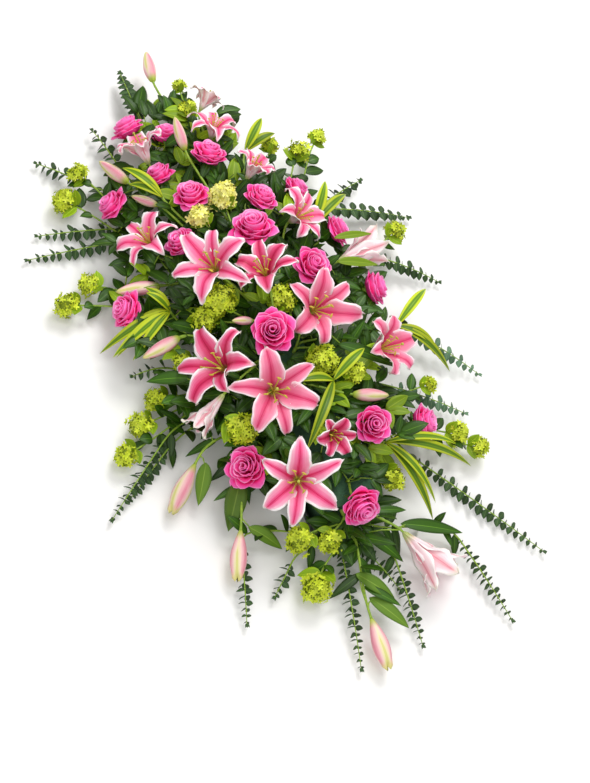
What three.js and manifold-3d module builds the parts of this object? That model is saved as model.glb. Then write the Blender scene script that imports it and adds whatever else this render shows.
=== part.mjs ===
// A casket spray: cut flowers and foliage standing in wet foam in a shallow tray.
// Millimetres, +Z up. The origin is the middle of the tray's underside. +X runs along the spray
// to its foot end, where the longest trails lie, and +Y to its right-hand side.
import * as THREE from 'three';
import { mergeVertices } from 'three/addons/utils/BufferGeometryUtils.js';
import Module from 'manifold-3d';

const wasm = await Module();
wasm.setup();

// Tray and foam
const tray = { length: 740, width: 146, height: 30, wall: 3, corner: 26, flare: 5 };
const foam = { length: 690, width: 114, height: 84, corner: 10 };
const fit = 0.4; // clearance between the foam and the tray
const foamTop = tray.wall + fit + foam.height;
const foamEnd = foam.length / 2;
const foamSide = foam.width / 2;

// Stems and leaves
const stemRadius = 2.6;
const trunkRadius = 4; // of the foot of a branched stem
const twigRadius = 2;
const stemDepth = 34; // how far a stem is pushed into the foam
const holeFit = 1.2; // clearance round a stem in its hole
const straightRise = 7; // how far a stem stands straight out of the foam
const trunkRise = 11; // how far the foot of a branched stem does
const leafThickness = 1.8;
const tepalThickness = 2.2;
const leafSpacing = 25; // between the leaf pairs of a eucalyptus frond
const leafLength = 19; // of a eucalyptus leaf, across its frond

// Roses: x, y and z of the bloom, its width, the way it faces (turn about +Z, lean from +Z)
const roses = [
  [-650, -95, 75, 92, 205, 55],
  [-600, -20, 95, 84, 170, 35],
  [-490, 30, 150, 94, 150, 20],
  [-480, -95, 120, 82, 215, 40],
  [-385, -65, 165, 92, 220, 20],
  [-446, -215, 90, 88, 240, 62],
  [-325, 75, 190, 88, 120, 15],
  [-250, 10, 215, 112, 208, 18],
  [-285, -130, 150, 85, 240, 40],
  [-370, 205, 120, 82, 100, 45],
  [-244, 250, 120, 86, 80, 50],
  [-140, 115, 185, 100, 30, 15],
  [-95, 280, 100, 94, 70, 55],
  [5, -60, 220, 106, 310, 25],
  [-194, -279, 81, 92, 255, 62],
  [225, 90, 150, 93, 340, 25],
  [230, 239, 90, 96, 60, 52],
  [220, -190, 115, 98, 280, 40],
  [387, -6, 132, 100, 358, 62],
];

// Lily stems. Each bloom has x, y and z of its throat, its reach from throat to tip, turn, lean
// and roll, and how far it has opened. Each bud has x, y and z of its foot, its length, turn and
// lean. Each leaf runs from its foot to its tip.
const lilies = [
  {
    blooms: [[-172, -114, 208, 94, 268, 31, 355, 0.86]],
    buds: [[-215, -62, 150, 66, 200, 50]],
    leaves: [],
  },
  {
    blooms: [[-132, -17, 212, 84, 237, 28, 107, 0.76]],
    buds: [[-55, -60, 158, 56, 270, 68]],
    leaves: [],
  },
  {
    blooms: [[-30, 66, 190, 98, 0, 26, 52, 0.84], [61, 200, 130, 100, 50, 32, 29, 0.66]],
    buds: [],
    leaves: [[35, 95, 145, 105, 215, 112]],
  },
  {
    blooms: [[30, -176, 172, 96, 262, 46, 80, 0.84], [72, -172, 132, 88, 300, 118, 0, 0.12]],
    buds: [[-85, -195, 108, 88, 280, 105]],
    leaves: [[12, -218, 114, -16, -292, 88]],
  },
  {
    blooms: [[132, -110, 216, 98, 332, 29, 152, 0.9], [225, -5, 150, 66, 350, 40, 10, 0.6]],
    buds: [[136, 88, 116, 84, 75, 95]],
    leaves: [],
  },
  {
    blooms: [[299, -120, 160, 94, 320, 34, 119, 0.92]],
    buds: [[165, -255, 66, 112, 315, 112], [315, -220, 52, 104, 336, 104]],
    leaves: [[170, -235, 60, 238, -272, 26], [318, -205, 50, 372, -150, 26]],
  },
  {
    blooms: [[-544, -100, 112, 84, 202, 50, 15, 0.64]],
    buds: [[-480, -150, 88, 88, 205, 98]],
    leaves: [],
  },
  {
    blooms: [[-325, -175, 105, 78, 240, 40, 15, 0.9]],
    buds: [[-225, -175, 78, 94, 257, 102], [-394, -120, 112, 62, 228, 95]],
    leaves: [],
  },
  {
    blooms: [[-555, 70, 130, 70, 150, 25, 10, 0.9], [-655, 100, 92, 60, 130, 65, 0, 0.7]],
    buds: [[-755, 20, 58, 90, 170, 88]],
    leaves: [],
  },
  {
    blooms: [[-270, 145, 160, 80, 60, 30, 25, 0.8], [-170, 205, 112, 110, 104, 98, 0, 0.2]],
    buds: [],
    leaves: [],
  },
  {
    blooms: [[-410, 95, 160, 72, 120, 30, 0, 0.6]],
    buds: [[-504, -18, 130, 78, 183, 66]],
    leaves: [],
  },
  {
    blooms: [[425, 85, 60, 120, 26, 99, 0, 0.22]],
    buds: [],
    leaves: [[405, 92, 52, 455, 222, 28], [392, 12, 46, 470, 78, 18]],
  },
  {
    blooms: [],
    buds: [[555, -45, 36, 108, 355, 95]],
    leaves: [[470, -40, 45, 540, 20, 30], [520, -30, 34, 600, 22, 27]],
  },
];

// Guelder rose branches: x, y and z of each head and its radius
const heads = [
  { tone: 'pale', balls: [[-345, -8, 176, 32], [-325, -62, 150, 24]] },
  {
    tone: 'lime',
    balls: [[-115, -112, 160, 36], [-97, -141, 135, 28], [-100, 28, 130, 34], [-30, -212, 104, 20]],
  },
  { tone: 'lime', balls: [[57, 55, 130.5, 34], [96, 108, 128, 26]] },
  {
    tone: 'lime',
    balls: [[150, -165, 122, 32], [5, -270, 40, 26], [45, -318, 32, 28], [98, -368, 30, 26]],
  },
  { tone: 'lime', balls: [[-500, -278, 36, 30], [-552, -232, 50, 24]] },
  { tone: 'lime', balls: [[-290, -300, 32, 26], [-255, -362, 32, 28]] },
  { tone: 'lime', balls: [[-485, 262, 75, 28], [-525, 332, 60, 22], [-505, 195, 92, 20]] },
  { tone: 'lime', balls: [[-240, 398, 60, 26]] },
  {
    tone: 'lime',
    balls: [[139, 288, 66, 20], [252, 310, 40, 27], [292, 345, 34, 26], [312, 118, 58, 26]],
  },
  { tone: 'lime', balls: [[376, -122, 58, 28], [398, -68, 62, 26], [468, -122, 38, 34]] },
  { tone: 'lime', balls: [[-640, 50, 92, 22], [-722, 66, 72, 18], [-666, 58, 56, 18]] },
];

// Eucalyptus: the foot and the tip of each frond, x, y and z
const eucalyptus = [
  [[-665, -45, 46, -815, -35, 36], [-560, -135, 40, -680, -150, 24], [-555, -235, 30, -625, -298, 15]],
  [[-380, -190, 28, -392, -398, 12], [-415, -200, 28, -445, -358, 12]],
  [[95, -290, 44, 212, -438, 14], [112, -290, 30, 186, -395, 14], [-60, -240, 46, -66, -292, 26]],
  [[340, -225, 30, 488, -272, 12], [405, -145, 34, 455, -200, 14], [400, -38, 36, 640, -98, 12]],
  [[405, -10, 42, 522, 48, 14], [470, 62, 22, 638, 40, 12], [465, 210, 26, 652, 242, 12]],
  [[-15, 300, 52, 127, 447, 14], [110, 215, 46, 207, 367, 18], [275, 205, 24, 542, 382, 12]],
  [[-200, 330, 46, -115, 470, 14], [-345, 275, 46, -295, 482, 14], [-350, 262, 52, -412, 405, 28]],
];

// Striped strap leaves: the crown of each whorl and the tips of its leaves, x, y and z
const straps = [
  {
    crown: [-150, -190, 100],
    tips: [[-130, -338, 32], [-106, -322, 48], [-205, -225, 118], [-150, -275, 66]],
  },
  { crown: [-500, 130, 95], tips: [[-562, 192, 120], [-520, 208, 114]] },
  { crown: [-402, -112, 128], tips: [[-484, -172, 140], [-444, -172, 136]] },
  { crown: [-264, 186, 124], tips: [[-334, 230, 172], [-326, 296, 116]] },
  { crown: [105, 55, 135], tips: [[100, -28, 160], [62, 142, 152], [232, -62, 128]] },
  { crown: [0, 272, 88], tips: [[-72, 385, 82], [106, 376, 26], [58, 352, 62]] },
  { crown: [240, 128, 78], tips: [[408, 178, 22], [322, 318, 18]] },
];

// Mouths of the holes whose stems would cross if they followed the rule of socketFor: x and y on
// the foam's top, or x, y and z on one of its sides
const ownMouths = {
  rose_1: [-345, -16, 70],
  rose_2: [-345, 0, 78],
  rose_3: [-262, 10],
  rose_4: [-252, -25],
  rose_6: [-245, -57, 44],
  rose_9: [-138, -22],
  rose_12: [-70, 42],
  rose_14: [14, -26],
  rose_15: [-95, -57, 50],
  rose_17: [126, 42],
  rose_19: [300, 8],
  lily_2: [-38, -2],
  lily_7: [-345, -40, 72],
  lily_8: [-192, -43],
  lily_9: [-325, 34],
  lily_10: [-138, 44],
  lily_11: [-222, 14],
  lily_12: [345, 36, 64],
  lily_13: [345, -4, 48],
  guelder_2: [-62, -30],
  guelder_4: [20, -57, 50],
  guelder_5: [-285, -57, 40],
  guelder_6: [-178, -57, 38],
  guelder_8: [-95, 57, 42],
  guelder_9: [145, 57, 50],
  guelder_10: [345, -18, 64],
  guelder_11: [-345, 17, 62],
  eucalyptus_1: [-345, -32, 46],
  eucalyptus_2: [-205, -57, 40],
  eucalyptus_3: [64, -57, 40],
  eucalyptus_4: [345, -36, 44],
  eucalyptus_5: [345, 24, 42],
  strap_leaves_3: [-225, -30],
  strap_leaves_4: [-152, 57, 62],
  strap_leaves_6: [-14, 44],
  strap_leaves_7: [165, 40],
};

const colours = {
  tray: '#1d2420',
  foam: '#3f6a48',
  rose: '#d8348f',
  lily: '#e77b9c',
  lime: '#a8c62e',
  pale: '#d6d78c',
  eucalyptus: '#587a63',
  strap: '#8aa83a',
};

const up = new THREE.Vector3(0, 0, 1);
const degrees = Math.PI / 180;

// The unit vector that is turned about +Z and leans from +Z by the given degrees
function facing(turn, lean) {
  const flat = Math.sin(lean * degrees);
  return new THREE.Vector3(
    flat * Math.cos(turn * degrees),
    flat * Math.sin(turn * degrees),
    Math.cos(lean * degrees),
  );
}

// The matrix that sets a piece modelled along +Z at a place, along an axis and rolled about it
function setAt(place, axis, roll = 0) {
  const turned = new THREE.Quaternion().setFromUnitVectors(up, axis);
  const rolled = new THREE.Quaternion().setFromAxisAngle(up, roll * degrees);
  return new THREE.Matrix4().compose(place, turned.multiply(rolled), new THREE.Vector3(1, 1, 1));
}

// Six times the volume that an indexed skin encloses, negative if it is inside out
function signedVolume(points, faces) {
  let volume = 0;
  for (let k = 0; k < faces.length; k += 3) {
    const [a, b, c] = [points[faces[k]], points[faces[k + 1]], points[faces[k + 2]]];
    volume += a.dot(new THREE.Vector3().crossVectors(b, c));
  }
  return volume;
}

// One closed skin from points and triangles, with its faces pointing out
function skin(points, faces) {
  const outward = signedVolume(points, faces) > 0 ? faces : faces.slice().reverse();
  const geometry = new THREE.BufferGeometry().setFromPoints(points);
  geometry.setIndex(outward);
  return geometry;
}

// A closed skin through rings of points. A first or last ring of one point is a tip, and a ring
// may have half or twice as many points as its neighbour.
function loft(rings) {
  const faces = [];
  let start = 0;
  for (let k = 0; k + 1 < rings.length; k += 1) {
    const here = rings[k].length;
    const there = rings[k + 1].length;
    const next = start + here;
    const low = (i) => start + (i % here);
    const high = (i) => next + (i % there);
    const fewer = Math.min(here, there);
    const count = fewer === 1 ? Math.max(here, there) : fewer;
    for (let i = 0; i < count; i += 1) {
      if (there === 2 * here) {
        faces.push(low(i), low(i + 1), high(2 * i + 1), low(i), high(2 * i + 1), high(2 * i));
        faces.push(low(i + 1), high(2 * i + 2), high(2 * i + 1));
      } else if (here === 2 * there) {
        faces.push(low(2 * i), low(2 * i + 1), high(i), low(2 * i + 1), high(i + 1), high(i));
        faces.push(low(2 * i + 1), low(2 * i + 2), high(i + 1));
      } else {
        if (here > 1) faces.push(low(i), low(i + 1), high(i + 1));
        if (there > 1) faces.push(low(i), high(i + 1), high(i));
      }
    }
    start = next;
  }
  for (let i = 1; i + 1 < rings[0].length; i += 1) faces.push(0, i + 1, i);
  for (let i = 1; i + 1 < rings.at(-1).length; i += 1) faces.push(start, start + i, start + i + 1);
  return skin(rings.flat(), faces);
}

// The direction of a line of points at each of its points
function tangents(points) {
  return points.map((point, k) => {
    const before = points[Math.max(k - 1, 0)];
    const after = points[Math.min(k + 1, points.length - 1)];
    return after.clone().sub(before).normalize();
  });
}

// A frame at each point of a line: its place, the way ahead and two directions across, carried
// along the line without a twist
function framesAlong(points) {
  const ahead = tangents(points);
  let normal = new THREE.Vector3(1, 0.2, 0);
  return points.map((place, k) => {
    normal = normal.clone().addScaledVector(ahead[k], -normal.dot(ahead[k])).normalize();
    const binormal = new THREE.Vector3().crossVectors(ahead[k], normal);
    return { place, ahead: ahead[k], normal, binormal };
  });
}

// A ring of points about a frame's place
function ringAt({ place, normal, binormal }, radius, sides) {
  return Array.from({ length: sides }, (_, i) => {
    const angle = (2 * Math.PI * i) / sides;
    return place.clone()
      .addScaledVector(normal, radius * Math.cos(angle))
      .addScaledVector(binormal, radius * Math.sin(angle));
  });
}

// A round stem through points, with a radius at each
function stem(points, radii, sides = 3) {
  return loft(framesAlong(points).map((frame, k) => ringAt(frame, radii[k], sides)));
}

// Rings modelled along +Z, set on the end of a stem in line with its sides
function onEnd({ place, ahead, normal, binormal }, rings) {
  const basis = new THREE.Matrix4().makeBasis(normal, binormal, ahead).setPosition(place);
  return rings.map((ring) => ring.map((point) => point.clone().applyMatrix4(basis)));
}

// A leaf or tepal along a line of points from foot to tip: thick at its rib and thin at its
// edges, which stand above the rib by the keel's share of the width
function blade(points, across, widths, thick, keel) {
  const ahead = tangents(points);
  const rings = points.map((point, k) => {
    if (k === 0 || k === points.length - 1) return [point];
    const side = across.clone().addScaledVector(ahead[k], -across.dot(ahead[k])).normalize();
    const top = new THREE.Vector3().crossVectors(ahead[k], side);
    const half = widths[k - 1] / 2;
    const edge = point.clone().addScaledVector(top, 2 * half * keel);
    return [
      edge.clone().addScaledVector(side, half),
      point.clone().addScaledVector(top, thick / 2),
      edge.clone().addScaledVector(side, -half),
      point.clone().addScaledVector(top, -thick / 2),
    ];
  });
  return loft(rings);
}

// A manifold solid of a geometry, with its shared points merged
function solid(geometry) {
  const bare = geometry.clone();
  bare.deleteAttribute('normal');
  bare.deleteAttribute('uv');
  const merged = mergeVertices(bare, 1e-4);
  return new wasm.Manifold(new wasm.Mesh({
    numProp: 3,
    vertProperties: new Float32Array(merged.attributes.position.array),
    triVerts: new Uint32Array(merged.index.array),
  }));
}

// All the given skins joined in one solid, without the scraps that a join can leave
function fuse(geometries) {
  const joined = wasm.Manifold.union(geometries.map(solid)).simplify(0.02);
  return joined.decompose().reduce((most, body) => (body.volume() > most.volume() ? body : most));
}

const group = new THREE.Group();

// Adds a finished solid to the group as a named mesh
function add(name, body, colour, roughness) {
  const mesh = body.getMesh();
  const geometry = new THREE.BufferGeometry();
  geometry.setAttribute('position', new THREE.BufferAttribute(mesh.vertProperties, 3));
  geometry.setIndex(new THREE.BufferAttribute(mesh.triVerts, 1));
  geometry.computeVertexNormals();
  const material = new THREE.MeshStandardMaterial({ color: colour, roughness, metalness: 0 });
  const piece = new THREE.Mesh(geometry, material);
  piece.name = name;
  group.add(piece);
}

// A rectangle with round corners
function roundedRectangle(length, width, corner, steps) {
  const shape = new THREE.Shape();
  const [x, y] = [length / 2 - corner, width / 2 - corner];
  shape.absarc(x, y, corner, 0, 90 * degrees);
  shape.absarc(-x, y, corner, 90 * degrees, 180 * degrees);
  shape.absarc(-x, -y, corner, 180 * degrees, 270 * degrees);
  shape.absarc(x, -y, corner, 270 * degrees, 360 * degrees);
  return new THREE.Shape(shape.getPoints(steps));
}

// A ring of the tray's outline at a height, grown outwards by the given amount
function trayRing(z, grow) {
  const outline = roundedRectangle(tray.length + 2 * grow, tray.width + 2 * grow, tray.corner + grow, 2);
  const points = outline.getPoints(1);
  const apart = points.filter((point, k) => point.distanceTo(points[(k + 1) % points.length]) > 0.01);
  return apart.map((point) => new THREE.Vector3(point.x, point.y, z));
}

function makeTray() {
  const { height, wall, flare } = tray;
  const outer = loft([trayRing(0, -flare), trayRing(height, 0)]);
  const inner = loft([trayRing(wall, -flare - wall), trayRing(height + 1, -wall)]);
  return solid(outer).subtract(solid(inner));
}

// Stems

const holes = [];

// Where a stem goes into the foam to reach a place. Low and far ones leave by a side, and the
// others by the top, spread out in the same order as the places they reach.
function socketFor(name, place) {
  const along = THREE.MathUtils.clamp(place.x * 0.5, 18 - foamEnd, foamEnd - 18);
  const across = THREE.MathUtils.clamp(place.y * 0.22, 14 - foamSide, foamSide - 14);
  const onSide = place.z < 0.45 * Math.abs(place.y);
  const byRule = onSide ? [along, Math.sign(place.y) * foamSide, foam.height / 2] : [along, across];
  const [x, y, z = foamTop] = ownMouths[name] ?? byRule;
  const mouth = new THREE.Vector3(x, y, z);
  const out = new THREE.Vector3(Math.sign(place.x) * 0.12, Math.sign(place.y) * 0.12, 1).normalize();
  if (Math.abs(mouth.x) >= foamEnd) out.set(Math.sign(mouth.x), 0, 0);
  else if (Math.abs(mouth.y) >= foamSide) out.set(0, Math.sign(mouth.y), 0);
  return { mouth, out, root: mouth.clone().addScaledVector(out, -stemDepth) };
}

// The line of a stem from the foam to a place, where it arrives along an axis
function routeTo(socket, place, axis, steps = 3) {
  const lip = socket.mouth.clone().addScaledVector(socket.out, straightRise);
  const pull = 0.36 * lip.distanceTo(place);
  const onTop = socket.out.z > 0.5;
  const lift = onTop ? Math.min(pull, 22 + 0.5 * Math.max(place.z - lip.z, 0)) : pull;
  const landing = onTop ? Math.min(pull, 26) : pull;
  const bend = new THREE.CubicBezierCurve3(
    lip,
    lip.clone().addScaledVector(socket.out, lift),
    place.clone().addScaledVector(axis, -landing),
    place,
  );
  return bend.getPoints(steps);
}

// The straight foot of a branched stem, from which its side stems part at the foam's skin
function trunk(socket) {
  const top = socket.mouth.clone().addScaledVector(socket.out, trunkRise);
  return stem([socket.root, top], [trunkRadius, trunkRadius]);
}

// Bores the hole in the foam that a stem of the given radius and sides stands in
function bore(socket, radius, sides = 3) {
  const past = socket.mouth.clone().addScaledVector(socket.out, 2);
  const end = socket.root.clone().addScaledVector(socket.out, -fit);
  holes.push(stem([end, past], [radius + holeFit, radius + holeFit], sides));
}

// Roses

// A ring of five petal rims, out and up in the middle of each petal and notched between them
function petalRim(radius, height, notch, phase) {
  return Array.from({ length: 10 }, (_, k) => {
    const angle = (36 * k + phase) * degrees;
    const share = (k % 2 ? 1 - notch : 1) * radius;
    const rise = height * (k % 2 ? 1 - 0.8 * notch : 1);
    return new THREE.Vector3(share * Math.cos(angle), share * Math.sin(angle), rise);
  });
}

// The rings of a bloom along +Z from its calyx: five open petals round a closer layer of five
// and the furled heart
function roseRings(width) {
  return [
    petalRim(0.17, 0.03, 0, 0),
    petalRim(0.4, 0.13, 0.12, 4),
    petalRim(0.5, 0.36, 0.28, 8),
    petalRim(0.27, 0.13, 0, 8),
    petalRim(0.32, 0.45, 0.2, 44),
    petalRim(0.2, 0.3, 0, 44),
    petalRim(0.15, 0.51, 0.2, 80),
    [new THREE.Vector3(0, 0, 0.38)],
  ].map((ring) => ring.map((point) => point.multiplyScalar(width)));
}

function makeRose([x, y, z, width, turn, lean], name) {
  const axis = facing(turn, lean);
  const centre = new THREE.Vector3(x, y, z);
  const calyx = centre.clone().addScaledVector(axis, -0.4 * width);
  const neck = calyx.clone().addScaledVector(axis, -0.12 * width);
  const socket = socketFor(name, centre);
  bore(socket, stemRadius, 5);
  const frames = framesAlong([socket.root, ...routeTo(socket, neck, axis, 2), calyx]);
  const last = frames.pop();
  const stalk = frames.map((frame) => ringAt(frame, stemRadius, 5));
  return fuse([loft([...stalk, ringAt(last, 0.1 * width, 5), ...onEnd(last, roseRings(width))])]);
}

// Lilies

// How far out and how high each station of a tepal is, for a flower that has opened so far
function tepalProfile(open) {
  return [
    [0.08 + 0.14 * open, 0.42],
    [0.15 + 0.39 * open, 0.8 - 0.18 * open],
    [0.17 + 0.67 * open, 1.02 - 0.48 * open],
    [0.06 + 0.96 * open, 1.2 - 0.9 * open],
  ];
}

// The petals of a flower along +Z from the top of its stalk, as one skin: a funnel that parts
// into three broad and three narrow tepals, thick at their ribs and thin at their edges. Five
// stamens and the longer style stand in an open flower's throat.
function trumpet(reach, open) {
  const points = [new THREE.Vector3(0, 0, 0.2 * reach), new THREE.Vector3(0, 0, -2)];
  const faces = [];
  const addPoint = (angle, out, rise, aside = 0) => {
    points.push(new THREE.Vector3(
      out * reach * Math.cos(angle) - aside * Math.sin(angle),
      out * reach * Math.sin(angle) + aside * Math.cos(angle),
      rise * reach,
    ));
    return points.length - 1;
  };
  const profile = tepalProfile(open).map((station) => new THREE.Vector2(...station));
  const { x: mouthOut, y: mouthRise } = profile[0];
  const outsides = profile.map((_, k) => {
    const run = profile[Math.min(k + 1, profile.length - 1)].clone().sub(profile[Math.max(k - 1, 0)]);
    return new THREE.Vector2(run.y, -run.x).normalize();
  });
  const sixth = (step) => 60 * step * degrees;
  const tepals = [0, 1, 2, 3, 4, 5];
  const throat = tepals.map((k) => addPoint(sixth(k), 0.032, 0.18));
  const notches = tepals.map((k) => addPoint(sixth(k - 0.5), 0.92 * mouthOut, mouthRise));
  notches.forEach((right, k) => {
    const angle = sixth(k);
    const left = notches[(k + 1) % 6];
    const broad = k % 2 === 0;
    const layer = broad ? 0 : 3;
    const rows = profile.map((place, station) => {
      const at = (depth, aside) => {
        const spot = place.clone().addScaledVector(outsides[station], (layer + depth) / reach);
        return addPoint(angle, spot.x, spot.y, aside);
      };
      const over = at(0);
      if (station === profile.length - 1) return [over];
      const under = at(tepalThickness);
      if (station === 0) return [right, over, left, under];
      const wide = (broad ? 0.22 : 0.155) * (station === 1 ? 0.96 : 0.84);
      const half = Math.min(wide, 0.47 * place.x) * reach;
      return [at(-0.1 * half, -half), over, at(-0.1 * half, half), under];
    });
    const [foot] = rows;
    const here = throat[k];
    const after = throat[(k + 1) % 6];
    faces.push(here, foot[0], foot[1], here, foot[1], foot[2], here, foot[2], after);
    faces.push(1, foot[3], foot[0], 1, foot[2], foot[3]);
    if (open > 0.5) {
      const long = k === 5;
      const point = addPoint(sixth(k + 0.5), long ? 0.03 : 0.2, long ? 0.98 : 0.78);
      faces.push(0, here, point, here, after, point, after, 0, point);
    } else {
      faces.push(0, here, after);
    }
    for (let row = 0; row + 1 < rows.length; row += 1) {
      const [near, far] = [rows[row], rows[row + 1]];
      for (let i = 0; i < 4; i += 1) {
        const [a, b] = [near[i], near[(i + 1) % 4]];
        const [c, d] = [far[i % far.length], far[(i + 1) % 4 % far.length]];
        const leftSide = i === 1 || i === 2;
        faces.push(a, leftSide ? c : d, b);
        if (c !== d) faces.push(leftSide ? b : a, c, d);
      }
    }
  });
  return skin(points, faces);
}

// The rings of a closed bud along +Z from the top of its stalk
function budRings(length) {
  const [normal, binormal] = [new THREE.Vector3(1, 0, 0), new THREE.Vector3(0, 1, 0)];
  const shares = [[0.06, 0.06], [0.3, 0.125], [0.62, 0.15], [0.9, 0.07]];
  const rings = shares.map(([rise, radius]) => {
    const place = up.clone().multiplyScalar(rise);
    return ringAt({ place, normal, binormal }, radius, 6);
  });
  return [...rings, [up.clone()]].map((ring) => ring.map((point) => point.multiplyScalar(length)));
}

// A lance leaf on a short stalk, from its joint over its foot to its tip
function lanceLeaf(joint, foot, tip) {
  const middle = foot.clone().lerp(tip, 0.5).addScaledVector(up, 12);
  const [, ...points] = new THREE.QuadraticBezierCurve3(foot, middle, tip).getPoints(3);
  const across = new THREE.Vector3().crossVectors(up, tip.clone().sub(foot)).normalize();
  return blade([joint, foot, ...points], across, [3, 24, 19], leafThickness, 0.12);
}

// The mean of the given points
function middleOf(points) {
  const sum = points.reduce((total, point) => total.add(point), new THREE.Vector3());
  return sum.divideScalar(points.length);
}

function makeLily({ blooms, buds, leaves }, name) {
  const ends = [
    ...blooms.map(([x, y, z, reach, turn, lean, roll, open]) => {
      const axis = facing(turn, lean);
      const foot = new THREE.Vector3(x, y, z).addScaledVector(axis, open > 0.5 ? -0.45 * reach : 0);
      return { foot, axis, flower: trumpet(reach, open).applyMatrix4(setAt(foot, axis, roll - turn)) };
    }),
    ...buds.map(([x, y, z, length, turn, lean]) => (
      { foot: new THREE.Vector3(x, y, z), axis: facing(turn, lean), bud: budRings(length) }
    )),
  ];
  const socket = socketFor(name, middleOf(ends.map((end) => end.foot)));
  const branched = ends.length > 1;
  bore(socket, branched ? trunkRadius : stemRadius);
  const pieces = branched ? [trunk(socket)] : [];
  const joints = [];
  for (const { foot, axis, flower, bud } of ends) {
    const route = [...routeTo(socket, foot, axis, branched ? 2 : 3)];
    if (!branched) route.unshift(socket.root);
    for (let k = 1; k < route.length; k += 1) {
      for (const share of [0.1, 0.4, 0.7]) joints.push(route[k].clone().lerp(route[k - 1], share));
    }
    if (flower) route.push(foot.clone().addScaledVector(axis, 4));
    const frames = framesAlong(route);
    const rings = frames.map((frame) => ringAt(frame, stemRadius, 3));
    if (bud) rings.push(...onEnd(frames.at(-1), bud));
    if (flower) rings.splice(-1, 1, ringAt(frames.at(-1), 0.6, 3));
    pieces.push(loft(rings));
    if (flower) pieces.push(flower);
  }
  for (const [x, y, z, tipX, tipY, tipZ] of leaves) {
    const foot = new THREE.Vector3(x, y, z);
    const tip = new THREE.Vector3(tipX, tipY, tipZ);
    const behind = foot.clone().lerp(tip, -0.25);
    const joint = joints.reduce((a, b) => (a.distanceTo(behind) < b.distanceTo(behind) ? a : b));
    pieces.push(lanceLeaf(joint, foot, tip));
  }
  return fuse(pieces);
}

// Guelder rose heads

// A ball covered by twelve florets. Each has five petals that fall away from its raised middle
// to the gaps between the florets.
function headSkin(radius) {
  const geometry = new THREE.IcosahedronGeometry(1, 1);
  geometry.deleteAttribute('normal');
  geometry.deleteAttribute('uv');
  const merged = mergeVertices(geometry, 1e-3);
  const corners = new THREE.IcosahedronGeometry(1, 0).attributes.position;
  const wayTo = (position, k) => new THREE.Vector3().fromBufferAttribute(position, k).normalize();
  const middles = Array.from({ length: corners.count }, (_, k) => wayTo(corners, k));
  const position = merged.attributes.position;
  for (let k = 0; k < position.count; k += 1) {
    const way = wayTo(position, k);
    const raised = middles.some((middle) => way.angleTo(middle) < 0.1);
    position.setXYZ(k, ...way.multiplyScalar(radius * (raised ? 1 : 0.74)).toArray());
  }
  return merged;
}

function makeHeads({ balls }, name) {
  const centres = balls.map(([x, y, z]) => new THREE.Vector3(x, y, z));
  const socket = socketFor(name, middleOf(centres));
  bore(socket, trunkRadius);
  const pieces = [trunk(socket)];
  balls.forEach(([, , , radius], k) => {
    const ball = headSkin(radius);
    const outward = centres[k].clone().sub(socket.mouth).normalize();
    pieces.push(ball.applyMatrix4(setAt(centres[k], outward)));
    const foot = centres[k].clone().addScaledVector(outward, -0.6 * radius);
    const route = routeTo(socket, foot, outward, 2);
    pieces.push(stem(route, route.map(() => twigRadius)));
  });
  return fuse(pieces);
}

// Eucalyptus

// A frond along a line of points: paired leaves cut to the rib, longest in the middle
function frondSkin(points, across, leaf) {
  const ahead = tangents(points);
  const count = points.length - 1;
  const vertices = [points[0].clone(), points[count].clone()];
  const stations = [];
  for (let k = 1; k < count; k += 1) {
    const top = new THREE.Vector3().crossVectors(ahead[k], across).normalize();
    const place = points[k];
    const index = vertices.length;
    vertices.push(place.clone().addScaledVector(top, 1.1), place.clone().addScaledVector(top, -1.1));
    vertices.push(place.clone().addScaledVector(across, 1.6), place.clone().addScaledVector(across, -1.6));
    stations.push({ top: index, under: index + 1, left: index + 2, right: index + 3 });
  }
  const faces = [];
  const first = stations[0];
  const last = stations.at(-1);
  faces.push(0, first.top, first.left, 0, first.left, first.under);
  faces.push(0, first.under, first.right, 0, first.right, first.top);
  faces.push(1, last.left, last.top, 1, last.under, last.left);
  faces.push(1, last.right, last.under, 1, last.top, last.right);
  for (let k = 0; k + 1 < stations.length; k += 1) {
    const [here, there] = [stations[k], stations[k + 1]];
    const share = Math.sin(Math.PI * (0.18 + (0.72 * k) / stations.length));
    const length = leaf * share;
    const forward = ahead[k + 1].clone().multiplyScalar(0.35 * length);
    const foot = points[k + 1].clone().lerp(points[k + 2], 0.5);
    for (const side of [1, -1]) {
      const [near, far] = side > 0 ? [here.left, there.left] : [here.right, there.right];
      const wide = foot.clone().addScaledVector(across, side * 0.6 * length)
        .addScaledVector(ahead[k + 1], -0.16 * length);
      const tip = foot.clone().addScaledVector(across, side * length).add(forward);
      const index = vertices.length;
      vertices.push(wide, tip);
      const upper = [here.top, near, index, index + 1, far, there.top];
      const lower = [here.under, near, index, index + 1, far, there.under];
      for (let i = 1; i + 1 < upper.length; i += 1) {
        const over = [upper[0], upper[i], upper[i + 1]];
        const below = [lower[0], lower[i + 1], lower[i]];
        faces.push(...(side > 0 ? over.reverse() : over), ...(side > 0 ? below.reverse() : below));
      }
    }
  }
  return skin(vertices, faces);
}

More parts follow.
